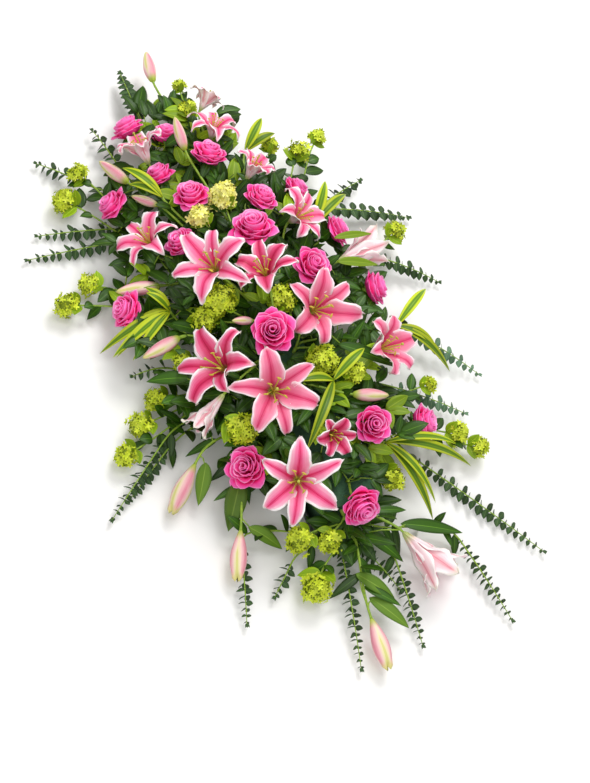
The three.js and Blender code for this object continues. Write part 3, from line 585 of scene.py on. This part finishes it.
lily = {
    "seed": 300, "across": 8, "along": 16, "thickness": 0.8, "broad": 0.268, "narrow": 0.198,
    "leaves": ((60, 95), 0.24, 0.12, 0.74, 17),
    # stem and bloom of the flowers that are darker, and of those pink up to a thin white margin
    "deep": [(2, 0), (4, 0), (5, 1)], "blush": [(3, 0), (3, 1), (5, 0)],
    "paleLeaves": (6, 13),  # the stems whose lance leaves are paler, with the underside's colours on both faces: partly their own lighter green, partly a painted sheen
    # how far each tepal of a main bloom swings aside in degrees, and its length
    "fitted": {
        1: [(13, 1.01), (5, 0.94), (-15, 1.13), (-9, 1.05), (-3, 1.04), (9, 1.12)],
        2: [(-6, 0.89), (0, 1.0), (-4, 1.06), (20, 1.15), (0, 1.07), (-10, 1.15)],
        3: [(20, 1.2), (2, 1.06), (-16, 1.03), (-16, 0.93), (5, 0.94), (-2, 0.89)],
        4: [(1, 1.18), (4, 1.18), (0, 1.12), (-2, 0.75), (-2, 1.02), (0, 1.03)],
        5: [(-5, 0.98), (9, 1.02), (17, 0.99), (-3, 1.02), (-5, 1.03), (-14, 1.04)],
        6: [(0, 0.96), (1, 0.93), (12, 0.97), (-7, 1.02), (-3, 1.04), (-3, 1.09)],
    },
    "finish": {"pink": 0, "leaf": 2, "deep": 4, "paleLeaf": 6, "blush": 8},
    # the blooms of a stem (middle, reach, turn and lean of the axis, roll, and how far open), its
    # buds (foot, length, turn and lean) and its lance leaves (foot and tip)
    "stems": [
        ([[-172, -114, 208, 94, 268, 31, 355, 0.86]], [[-215, -62, 150, 66, 200, 50]], []),
        ([[-132, -17, 212, 84, 237, 28, 107, 0.76]], [[-55, -60, 158, 56, 270, 68]], []),
        ([[-30, 66, 190, 98, 0, 26, 52, 0.84], [61, 200, 130, 100, 50, 32, 29, 0.66]], [],
         [[35, 95, 145, 105, 215, 112]]),
        ([[30, -176, 172, 96, 262, 46, 80, 0.84], [72, -172, 132, 88, 300, 118, 0, 0.12]],
         [[-85, -195, 108, 88, 280, 105]], [[12, -218, 114, -16, -292, 88]]),
        ([[132, -110, 216, 98, 332, 29, 152, 0.9], [225, -5, 150, 66, 350, 40, 10, 0.6]],
         [[136, 88, 116, 84, 75, 95]], []),
        ([[299, -120, 160, 94, 320, 34, 119, 0.92]],
         [[165, -255, 66, 112, 315, 112], [315, -220, 52, 104, 336, 104]],
         [[170, -235, 60, 238, -272, 26], [318, -205, 50, 372, -150, 26]]),
        ([[-544, -100, 112, 84, 202, 50, 15, 0.64]], [[-480, -150, 88, 88, 205, 98]], []),
        ([[-325, -175, 105, 78, 240, 40, 15, 0.9]],
         [[-225, -175, 78, 94, 257, 102], [-394, -120, 112, 62, 228, 95]], []),
        ([[-555, 70, 130, 70, 150, 25, 10, 0.9], [-655, 100, 92, 60, 130, 65, 0, 0.7]],
         [[-755, 20, 58, 90, 170, 88]], []),
        ([[-270, 145, 160, 80, 60, 30, 25, 0.8], [-170, 205, 112, 110, 104, 98, 0, 0.2]], [], []),
        ([[-410, 95, 160, 72, 120, 30, 0, 0.6]], [[-504, -18, 130, 78, 183, 66]], []),
        ([[425, 85, 60, 120, 26, 99, 0, 0.22]], [],
         [[405, 92, 52, 455, 222, 28], [392, 12, 46, 470, 78, 18]]),
        ([], [[555, -45, 36, 108, 355, 95]],
         [[470, -40, 45, 540, 20, 30], [520, -30, 34, 600, 22, 27]]),
    ],
}


def tepalShape(reach, opened, angle, broad, dice, stretch, swing):
    # the middle line of a tepal, out and up from the throat, and its width along it
    o = opened
    points = (
        (0.012, 0.0), (0.05 + 0.06 * o, 0.2), (0.08 + 0.14 * o, 0.42), (0.15 + 0.39 * o, 0.8 - 0.18 * o),
        (0.17 + 0.67 * o, 1.02 - 0.48 * o), (0.06 + 0.96 * o, 1.2 - 0.9 * o))
    if o < 0.5:  # a trumpet, whose tips spread straight on
        points = (
            (0.012, 0.0), (0.055 + 0.05 * o, 0.2), (0.09 + 0.18 * o, 0.42), (0.14 + 0.5 * o, 0.7),
            (0.16 + 0.9 * o, 0.9), (0.17 + 1.2 * o, 1.06))
    line = [Vector(point) for point in points]
    widest = lily["broad"] if broad else lily["narrow"]
    phase, waves, curl = dice.uniform(0, 6.28), dice.uniform(17, 25), dice.uniform(0.0, 0.1)
    twist = dice.uniform(-0.3, 0.3)
    drop = 0.0 if broad else 0.03

    def shape(u, v):
        spot = splineAt(line, v)
        ahead = (splineAt(line, v + 0.02) - splineAt(line, v - 0.02)).normalized()
        over = Vector((-ahead.y, ahead.x))
        bell = math.sin(math.pi * v ** 0.76) ** (0.6 + 0.5 * v) if 0 < v < 1 else 0.0
        ripple = 1 + 0.06 * math.sin(v * waves * 1.2 + phase)
        half = (0.03 + (widest - 0.03) * bell - 0.03 * v ** 6) * ripple
        half = min(half, 0.035 + 0.8 * spot.x)
        ruffle = 0.2 * widest * math.sin(v * waves + phase + 2 * u) * abs(u) ** 3 * smooth(0.25, 0.5, v)
        lift = half * (0.32 * u * u - 0.12 * math.exp(-(u * 5) ** 2)) * (1 - 0.9 * v) + ruffle
        lift += twist * u * half * v - curl * smooth(0.75, 1.0, v) ** 2
        out = (spot.x + over.x * lift) * (1 + (stretch - 1) * v)
        rise = spot.y + over.y * lift - drop * smooth(0.1, 0.4, v)
        around = angle + math.radians(swing) * v
        aside = u * half
        return Vector((out * math.cos(around) - aside * math.sin(around),
                       out * math.sin(around) + aside * math.cos(around), rise)) * reach
    return shape


def addStamens(bm, reach, opened, dice, move):
    # six curved filaments with their anthers round a longer style with a three-lobed stigma
    for n in range(7):
        style = n == 6
        way = polar(1, math.radians(60 * n + 30 + dice.uniform(-8, 8)))
        out = 0.05 if style else (0.09 + 0.15 * opened) * dice.uniform(0.85, 1.15)
        rise = 0.88 if style else 0.7 * dice.uniform(0.9, 1.05)
        line = [Vector((0, 0, 0.1)), way * out * 0.25 + up * rise * 0.5, way * out + up * rise]
        points = [move @ (splineAt(line, t / 8) * reach) for t in range(9)]
        width = 0.016 if style else 0.011
        addTube(bm, points, [width * reach] * 9, 6, 1, 0.5 if style else 0.7)
        end = points[-1]
        if style:
            addBall(bm, end, 0.032 * reach, 1, 0.2)
        else:
            side = (end - points[-2]).normalized().orthogonal().normalized()
            tips = [end + side * reach * s * 0.055 for s in (-1, -0.5, 0, 0.5, 1)]
            addTube(bm, tips, [0.5, 0.017 * reach, 0.02 * reach, 0.017 * reach, 0.5], 6, 2, dice.random())


def budShape(length, foot, axis):
    # a three-sided bud; the longest swell toward their tips, which part
    move = setAt(foot, axis)
    opening = length > 100

    def shape(u, v):
        angle = math.pi * u
        swell = (0.03 + 0.95 * v) ** (1.3 if opening else 0.9)
        body = math.sin(math.pi * swell) ** 0.75 if 0 < v < 1 else 0.0
        radius = 0.155 * length * body * (1 + 0.07 * math.cos(3 * angle))
        parted = smooth(0.8, 1.0, v) if opening else 0.0
        radius += 0.045 * length * parted * (0.55 + 0.45 * math.cos(3 * angle))
        rise = length * (v - 0.09 * parted * (0.5 - 0.5 * math.cos(3 * angle)))
        return move @ polar(radius, angle, rise)
    return shape


def middleOf(points):
    return sum(points, Vector()) / len(points)


def makeLily(k, name, dice, flowers, buds, lances):
    petals, greens = newPiece(), newPiece()
    finish = lily["finish"]
    ends = []
    plain = [(0, 1)] * 6  # six tepals that aren't fitted to the photo
    for m, (x, y, z, reach, turn, lean, roll, opened) in enumerate(flowers):
        fitted = plain if m else lily["fitted"].get(k, plain)
        axis = facing(turn, lean)
        wide = opened > 0.5
        centre = Vector((x, y, z))
        foot = centre - axis * (0.45 * reach if wide else 0)
        move = setAt(foot, axis, roll - turn)
        first = len(petals.verts)
        skin = "deep" if (k, m) in lily["deep"] else "blush" if (k, m) in lily["blush"] else "pink"
        for n, (swing, stretch) in enumerate(fitted):
            shape = tepalShape(reach, opened, math.radians(60 * n), n % 2 == 0, dice, stretch, swing)
            tone = 0.3 + 0.4 * dice.random()
            addSheet(petals, lily["across"], lily["along"], shape, finish[skin], tone)
        petals.verts.ensure_lookup_table()
        bmesh.ops.transform(petals, matrix=move, verts=petals.verts[first:])
        for vert in petals.verts[first:]:
            vert.co = lowest(vert.co, 3)
        if wide:
            addStamens(greens, reach, opened, dice, move)
        ends.append((foot, axis))
        middle = centre + axis * (0.1 if wide else 0.5) * reach
        blooms.append((middle, (0.9 if wide else 0.5) * reach, axis if wide else up))
    for x, y, z, length, turn, lean in buds:
        foot, axis = Vector((x, y, z)), facing(turn, lean)
        blooms.extend((foot + axis * share * length, 0.24 * length, up) for share in (0.3, 0.7))
        skin = addSheet(greens, 24, 16, budShape(length, foot, axis), 3, dice.random())
        bmesh.ops.remove_doubles(greens, verts=skin, dist=0.01)  # closes it behind and at its ends
        ends.append((foot, axis))
    socket = socketFor(name, middleOf([foot for foot, axis in ends]))
    lines = [routeTo(socket, foot, axis) for foot, axis in ends]
    for line, (foot, axis) in zip(lines, ends):
        points = [socket[2], *line, foot + axis * 6]
        addTube(greens, points, [stems["radius"]] * (len(points) - 1) + [3.4], stems["sides"], 0)
        stemLines.append((name, line, lily["leaves"]))
    if len(ends) > 1:
        addTrunk(greens, socket)
    joints = [line[-2] for line in lines]
    for leaf in lances:
        foot, tip = Vector(leaf[:3]), Vector(leaf[3:])
        joint = min(joints, key=lambda spot: (spot - foot).length)
        twig = [joint, joint.lerp(foot, 0.5) + up * 2, foot.lerp(tip, 0.08) + up]
        addTube(greens, twig, [1.8, 1.5, 1.2], 6, 0)
        # paler lance leaves: partly their own lighter green, partly a painted sheen
        skin = "paleLeaf" if k in lily["paleLeaves"] else "leaf"
        addSheet(petals, 8, 16, leafShape(foot, tip, 30, 12, 0.12), finish[skin], 0.8)
    skins = [lilyBack, lilyPetal, darkLeafBack, darkLeaf, lilyBack, deepPetal,
             darkLeafBack, darkLeafBack, lilyBack, blushPetal]
    finishPiece(f"lily{k}Petals", petals, skins, name, lily["thickness"])
    finishPiece(f"lily{k}Stem", greens, [greenStem, filament, anther, budSkin], name)


# Guelder rose heads

guelder = {
    "seed": 500, "floret": 7.6, "cover": 1.6, "core": 0.72,
    "leaves": ((34, 56), 0.5, 0.15, 0.95, 20),
    "pale": (1,),  # the branches whose heads are pale; the others are lime green
    # middle and radius of each head
    "branches": [
        [[-345, -8, 176, 32], [-325, -62, 150, 24]],
        [[-115, -112, 160, 36], [-97, -141, 135, 28], [-100, 28, 130, 34], [-30, -212, 104, 20]],
        [[57, 55, 130.5, 34], [96, 108, 128, 26]],
        [[150, -165, 122, 32], [5, -270, 40, 26], [45, -318, 32, 28], [98, -368, 30, 26]],
        [[-500, -278, 36, 30], [-552, -232, 50, 24]],
        [[-290, -300, 32, 26], [-255, -362, 32, 28]],
        [[-485, 262, 75, 28], [-525, 332, 60, 22], [-505, 195, 92, 20]],
        [[-240, 398, 60, 26]],
        [[139, 288, 66, 20], [252, 310, 40, 27], [292, 345, 34, 26], [312, 118, 58, 26]],
        [[376, -122, 58, 28], [398, -68, 62, 26], [468, -122, 38, 34]],
        [[-640, 50, 92, 22], [-722, 66, 72, 18], [-666, 58, 56, 18]],
    ],
}


def addFloret(bm, move, radius, finish, tone):
    # five rounded petals round a sunken eye
    made = bmesh.ops.create_circle(bm, cap_ends=True, cap_tris=True, segments=15, radius=radius)["verts"]
    for vert in made:
        if vert.co.length < 0.1 * radius:
            vert.co.z = -0.3 * radius
            continue
        step = round(math.degrees(math.atan2(vert.co.y, vert.co.x)) / 24)
        if step % 3 == 0:
            vert.co *= 0.45
        else:
            vert.co.z = 0.12 * radius
    markMade(bm, made, finish, tone)
    bmesh.ops.transform(bm, matrix=move, verts=made)


def makeBranch(k, name, dice, *balls):
    pale = k in guelder["pale"]
    centres = [Vector(ball[:3]) for ball in balls]
    socket = socketFor(name, middleOf(centres))
    florets, leaves = newPiece(), newPiece()
    for centre, (x, y, z, radius) in zip(centres, balls):
        blooms.append((centre, radius, up))
        outward = (centre - socket[0]).normalized()
        crown = (outward + up * 0.5).normalized()
        domed = -0.35 if z < 80 else -0.75  # the outer heads are domes, open toward their stalks
        seed = Vector((x, y, z)) * 0.03
        made = addBall(florets, centre, radius * guelder["core"], 2, 0.3)
        count = int(guelder["cover"] * 4 * (radius / guelder["floret"]) ** 2)
        for vert in made:
            way = (vert.co - centre).normalized()
            if way.dot(crown) < domed:
                vert.co += (way.dot(crown) - domed) * -0.9 * radius * crown
        for n in range(count):
            level = 1 - 2 * (n + 0.5) / count
            way = polar(math.sqrt(1 - level * level), goldenAngle * n, level)
            if way.dot(crown) < domed:
                continue
            size = guelder["floret"] * dice.uniform(0.75, 1.25) * (1.2 if pale else 1)
            bunch = noise.noise(seed + way * 1.9)
            swell = radius * (0.9 + 0.3 * bunch + dice.uniform(-0.12, 0.08)) - 2
            tilt = (way + Vector([dice.uniform(-0.6, 0.6) for n in range(3)])).normalized()
            spot = lowest(centre + way * swell, 3)
            turned = setAt(spot, tilt, dice.uniform(0, 72))
            addFloret(florets, turned, size, 1, 0.5 + 0.5 * dice.uniform(-1, 1))
        line = routeTo(socket, centre - outward * 0.6 * radius, outward)
        addStem(florets, socket, line, stems["twig"])
        stemLines.append((name, line, guelder["leaves"]))
        for n in range(3):
            spin = Quaternion(outward, 2.1 * n + dice.random()) @ outward.orthogonal().normalized()
            foot = centre - outward * 0.85 * radius
            tip = lowest(foot + spin * radius * 1.25 + outward * radius * 0.5, 3)
            addSheet(leaves, 6, 8, leafShape(foot, tip, radius * 0.75, 3, 0.1, 0.2), 0, dice.random())
    addTrunk(florets, socket)
    skins = (paleFloret, paleFloret) if pale else (limeFloret, headCore)
    finishPiece(f"guelder{k}Heads", florets, [greenStem, *skins], name, 0)
    finishPiece(f"guelder{k}Leaves", leaves, [freshLeaf, freshLeaf], name, 0.6)


# Eucalyptus

eucalyptus = {
    "seed": 700, "spacing": 12, "leaf": 16, "width": 0.76, "thickness": 0.6,
    "broad": (1, 2, 6, 7), "grown": 1.25,  # the branches with larger, rounder leaves, and how much
    # branch and frond of the bushy sprigs, and how close their pairs stand as a share of the spacing
    "dense": {(1, 0): 0.62, (7, 1): 0.95},
    "grey": [(6, 0), (6, 1)],  # the fronds with a grey bloom on their leaves
    "leaves": ((40, 62), 0.34, 0.2, 0.95, 24),
    "branches": [
        [[-665, -45, 46, -815, -35, 36], [-560, -135, 40, -680, -150, 24],
         [-555, -235, 30, -625, -298, 15]],
        [[-380, -190, 28, -392, -398, 12], [-415, -200, 28, -445, -358, 12]],
        [[95, -290, 44, 212, -438, 14], [112, -290, 30, 186, -395, 14], [-60, -240, 46, -66, -292, 26]],
        [[340, -225, 30, 488, -272, 12], [405, -145, 34, 455, -200, 14], [400, -38, 36, 640, -98, 12]],
        [[405, -10, 42, 522, 48, 14], [470, 62, 22, 638, 40, 12], [465, 210, 26, 652, 242, 12]],
        [[-15, 300, 52, 127, 447, 14], [110, 215, 46, 207, 367, 18], [275, 205, 24, 542, 382, 12]],
        [[-200, 330, 46, -115, 470, 14], [-345, 275, 46, -295, 482, 14], [-350, 262, 52, -412, 405, 28]],
    ],
}


def makeEucalyptus(k, name, dice, *fronds):
    feet = [Vector(frond[:3]) for frond in fronds]
    socket = socketFor(name, middleOf(feet))
    leaves, stalks = newPiece(), newPiece()
    grown = eucalyptus["grown"] if k in eucalyptus["broad"] else 1.0
    for m, (foot, frond) in enumerate(zip(feet, fronds)):
        tip = Vector(frond[3:])
        run = tip - foot
        level = Vector((run.x, run.y, 0)).normalized()
        line = routeTo(socket, foot, level)
        middle = foot + level * run.length * 0.5
        stalk = [arcAt(foot, middle, tip, n / 16) for n in range(17)]
        whole = [*line[:-1], *stalk]
        thinning = len(whole) - 11
        radii = [2] * 12 + [2 - 1.3 * n / thinning for n in range(thinning)]
        addTube(stalks, [socket[2], *whole], radii, 6, 0)
        dense = eucalyptus["dense"].get((k, m))
        skin = 2 if (k, m) in eucalyptus["grey"] else 0
        count = int(run.length / (eucalyptus["spacing"] * (dense or grown)))
        across = up.cross(level)
        for n in range(count):
            # each pair stands across the stem, turned a quarter from the pair before
            share = (n + 0.5) / count
            spot = splineAt(stalk, share)
            size = grown * eucalyptus["leaf"] * (1.05 * math.sin(math.pi * (0.2 + 0.72 * share)) + 0.1)
            raised = (0.2 if n % 2 else 0.95) + dice.uniform(-0.15, 0.15)
            for hand in (1, -1):
                side = Quaternion(level, -hand * raised) @ (across * hand)
                end = lowest(spot + side * size + level * size * dice.uniform(0.05, 0.3), 2)
                rolled = dice.uniform(0.7, 1.4) / grown ** 2 * (0.3 if dense else 1)
                shape = leafShape(spot, end, size * eucalyptus["width"], 1.5, 0.12, 0.0, 0.75, rolled)
                addSheet(leaves, 4, 6, shape, skin, dice.random())
        for n in range(3):
            end = tip + level * 6 + across * (n - 1) * 4 + up * dice.uniform(0, 3)
            addSheet(leaves, 4, 6, leafShape(tip - level * 3, end, 4, 1, 0.12), skin, 0.9)
        stemLines.append((name, line, eucalyptus["leaves"]))
    addTrunk(stalks, socket)
    skins = [eucalyptusLeaf, eucalyptusLeaf, greyLeaf, greyLeaf]
    finishPiece(f"eucalyptus{k}Leaves", leaves, skins, name, eucalyptus["thickness"])
    finishPiece(f"eucalyptus{k}Stems", stalks, [greenStem], name)


# Striped strap leaves

strap = {
    "seed": 900, "width": 22, "thickness": 0.7,
    "tufted": {1: 2, 7: 2},  # the whorls with more blades than one to a tip, and how many
    "leaves": ((46, 70), 0.3, 0.15, 0.8, 20),
    # the crown of each whorl and the tips of its leaves
    "whorls": [
        ([-150, -190, 100], [[-130, -338, 32], [-106, -322, 48], [-205, -225, 118], [-150, -275, 66]]),
        ([-500, 130, 95], [[-562, 192, 120], [-520, 208, 114]]),
        ([-402, -112, 128], [[-484, -172, 140], [-444, -172, 136]]),
        ([-264, 186, 124], [[-334, 230, 172], [-326, 296, 116]]),
        ([105, 55, 135], [[100, -28, 160], [62, 142, 152], [232, -62, 128]]),
        ([0, 272, 88], [[-72, 385, 82], [106, 376, 26], [58, 352, 62]]),
        ([240, 128, 78], [[408, 178, 22], [322, 318, 18]]),
    ],
}


def makeWhorl(k, name, dice, crown, tips):
    crown = Vector(crown)
    tips = [Vector(tip) for tip in tips]
    flat = middleOf(tips) - crown
    flat.z = 0
    axis = (flat.normalized() * 0.5 + up).normalized()
    socket = socketFor(name, middleOf(tips).lerp(crown, 0.5))
    line = routeTo(socket, crown, axis)
    blades, stalk = newPiece(), newPiece()
    for tip in tips:
        run = tip - crown
        for n in range(strap["tufted"].get(k, 1)):
            swing = Quaternion(up, 0.2 * n + (dice.uniform(-0.08, 0.08) if n else 0))
            end = crown + swing @ run * (1 - 0.12 * n)
            end.z = max(end.z + 8 * n, 4)
            shape = leafShape(crown, end, strap["width"] * (1 - 0.18 * n), 0.32 * run.length, 0.14,
                              dice.uniform(-0.25, 0.25), 0.9)
            addSheet(blades, 8, 18, shape, 0, dice.random())
    addStem(stalk, socket, line, stems["radius"])
    stemLines.append((name, line, strap["leaves"]))
    finishPiece(f"strapLeaves{k}Blades", blades, [strapLeaf, strapLeaf], name, strap["thickness"])
    finishPiece(f"strapLeaves{k}Stem", stalk, [greenStem], name)


# Every family in turn

for family, settings, rows, make in (
        ("rose", rose, "blooms", makeRose), ("lily", lily, "stems", makeLily),
        ("guelder", guelder, "branches", makeBranch),
        ("eucalyptus", eucalyptus, "branches", makeEucalyptus),
        ("strap_leaves", strap, "whorls", makeWhorl)):
    for k, row in enumerate(settings[rows], 1):
        make(k, f"{family}_{k}", random.Random(settings["seed"] + k), *row)
    print(family, "made")


# Leafy side twigs that fill the mass

filling = {
    # the ovals that the twigs fill: middle, half lengths, number of twigs, and how high they stand
    # as shares of the dome
    "ovals": [
        ((-125, -8), (468, 262), 200, (0.4, 0.8)), ((0, 0), (375, 95), 70, (0.32, 0.5)),
        ((-605, 25), (95, 120), 34, (0.5, 1.15)), ((0, 0), (410, 135), 90, (0.06, 0.3))],
    # leaves that show by themselves: their node, foot, tip, width and finish, by the order of the
    # materials in makeFoliage: 4 is fresh, 6 an underside
    "single": [
        ("rose_18", (228, -189, 70), (308, -239, 32), 42, 6),
        ("lily_10", (-150, 180, 146), (-136, 284, 118), 24, 4),
        ("lily_10", (-205, 198, 150), (-207, 299, 130), 18, 4)],
    "seed": 77, "leaf": (42, 70), "leafWidth": 0.46, "thickness": 0.6,
    "fresh": 0.14,  # the share of young, light green leaves, doubled toward the head end
}


def addTwig(bm, joint, target, outward, kind, dice):
    # a thin twig with three leaves at its end, bent down under the blooms
    twig = [joint, joint.lerp(target, 0.5) + up * 0.1 * (target - joint).length, target]
    addTube(bm, [splineAt(twig, t / 6) for t in range(7)], [1.3] * 7, 4, 2)
    for swing in (-0.95, 0.0, 0.95):
        foot = target - outward * (4 if swing else 0)
        way = Quaternion(up, swing + dice.uniform(-0.3, 0.3)) @ outward
        size = dice.uniform(*filling["leaf"]) * (0.85 if swing else 1)
        tip = foot + way * size
        tip.z = max(min(tip.z, highest(tip)), 3)
        if hides(tip) or hides(foot.lerp(tip, 0.5)):
            continue
        width, twist = size * filling["leafWidth"], dice.uniform(-0.6, 0.6)
        addSheet(bm, 4, 7, leafShape(foot, tip, width, 0.12 * size, 0.12, twist), kind, dice.random())


def makeFoliage():
    # leaves along every stem, then spots spread evenly over each oval, each reached by a twig from
    # the stem nearest to it
    dice = random.Random(filling["seed"])
    pieces = {}
    joints = [(name, spot) for name, line, leaves in stemLines for spot in line[1:-2]]
    for name, line, leaves in stemLines:
        dressStem(pieces.setdefault(name, newPiece()), line, leaves, dice)
    for name, foot, tip, width, finish in filling["single"]:
        shape = leafShape(Vector(foot), Vector(tip), width, 8, 0.12)
        addSheet(pieces[name], 6, 10, shape, finish, 0.1)
    for centre, half, twigs, height in filling["ovals"]:
        for n in range(twigs):
            share = math.sqrt((n + 0.5) / twigs)
            around = goldenAngle * n
            x = centre[0] + half[0] * share * math.cos(around)
            y = centre[1] + half[1] * share * math.sin(around)
            target = Vector((x, y, 0))
            target.z = 22 + (domeHeight(target) - 30) * dice.uniform(*height)
            if (target.z < stems["foamTop"] + 5 and abs(x) < stems["foamEnd"] + 6
                    and abs(y) < stems["foamSide"] + 6):
                continue  # it would stand in the foam
            target.z = max(min(target.z, highest(target)), 4)
            name, joint = min(joints, key=lambda pair: (pair[1] - target).length)
            outward = (Vector((x / 2.2, y, 0)).normalized() + up * dice.uniform(-0.1, 0.5)).normalized()
            outward = Quaternion(up, dice.uniform(-1.0, 1.0)) @ outward
            fresh = dice.random() < filling["fresh"] * (2 if x < -420 else 1)
            addTwig(pieces.setdefault(name, newPiece()), joint, target, outward, 4 if fresh else 0, dice)
    for name, bm in pieces.items():
        family, number = name.rsplit("_", 1)
        finishPiece(f"{family.replace('_l', 'L')}{number}Foliage", bm,
                    [darkLeafBack, darkLeaf, greenStem, greenStem, freshLeaf, freshLeaf, darkLeafBack,
                     darkLeafBack], name, filling["thickness"])


makeFoliage()
print("foliage made")


# Foam and tray keep their solids and get their finishes

for node, material in (("foam", wetFoam), ("tray", trayPlastic)):
    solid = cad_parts[node]
    solid.data.materials.clear()
    solid.data.materials.append(material)


# Floor, light and camera

studio = {
    "floor": "#f4f3f1", "sky": "#ffffff", "skyStrength": 0.58,
    "lights": [  # place, aim, size, power in watts
        ((-1.6, 1.4, 3.0), (0, 0, 0.1), 1.4, 70),
        ((1.6, -2.0, 2.8), (0, 0, 0.1), 2.0, 33),
        ((0.3, 0.2, 3.6), (0, 0, 0), 1.6, 25),
    ],
    "lens": 65.9,
    "eye": (1.1676, -1.1931, 2.4676),
    "right": (0.40028, 0.87997, 0.25578),
    "upward": (-0.83524, 0.23550, 0.49690),
    "back": (0.37702, -0.41254, 0.82926),
}


def makeStudio():
    ground = bmesh.new()
    bmesh.ops.create_grid(ground, x_segments=1, y_segments=1, size=8)
    paint = {"Base Color": linear(studio["floor"]), "Roughness": 0.8}
    floor = addMesh("Floor", ground, [newMaterial("PaleFloor", paint)[0]])
    world = bpy.data.worlds.new("Studio")
    world.use_nodes = True
    background = world.node_tree.nodes["Background"]
    background.inputs["Color"].default_value = linear(studio["sky"])
    background.inputs["Strength"].default_value = studio["skyStrength"]
    bpy.context.scene.world = world
    bpy.context.scene.view_settings.view_transform = "Standard"  # keeps the flowers' colours pure
    for n, (place, aim, size, power) in enumerate(studio["lights"], 1):
        lamp = bpy.data.lights.new(f"Softbox{n}", "AREA")
        lamp.size = size
        lamp.energy = power
        holder = addObject(f"Softbox{n}", lamp)
        holder.location = place
        holder.rotation_euler = (Vector(place) - Vector(aim)).to_track_quat("Z", "Y").to_euler()
    lens = bpy.data.cameras.new("Camera")
    lens.lens = studio["lens"]
    lens.sensor_width = 36
    lens.clip_start = 0.05
    camera = addObject("Camera", lens)
    axes = Matrix([studio[key] for key in ("right", "upward", "back")]).transposed().to_4x4()
    camera.matrix_world = Matrix.Translation(studio["eye"]) @ axes
    bpy.context.scene.camera = camera


makeStudio()
print("studio set")
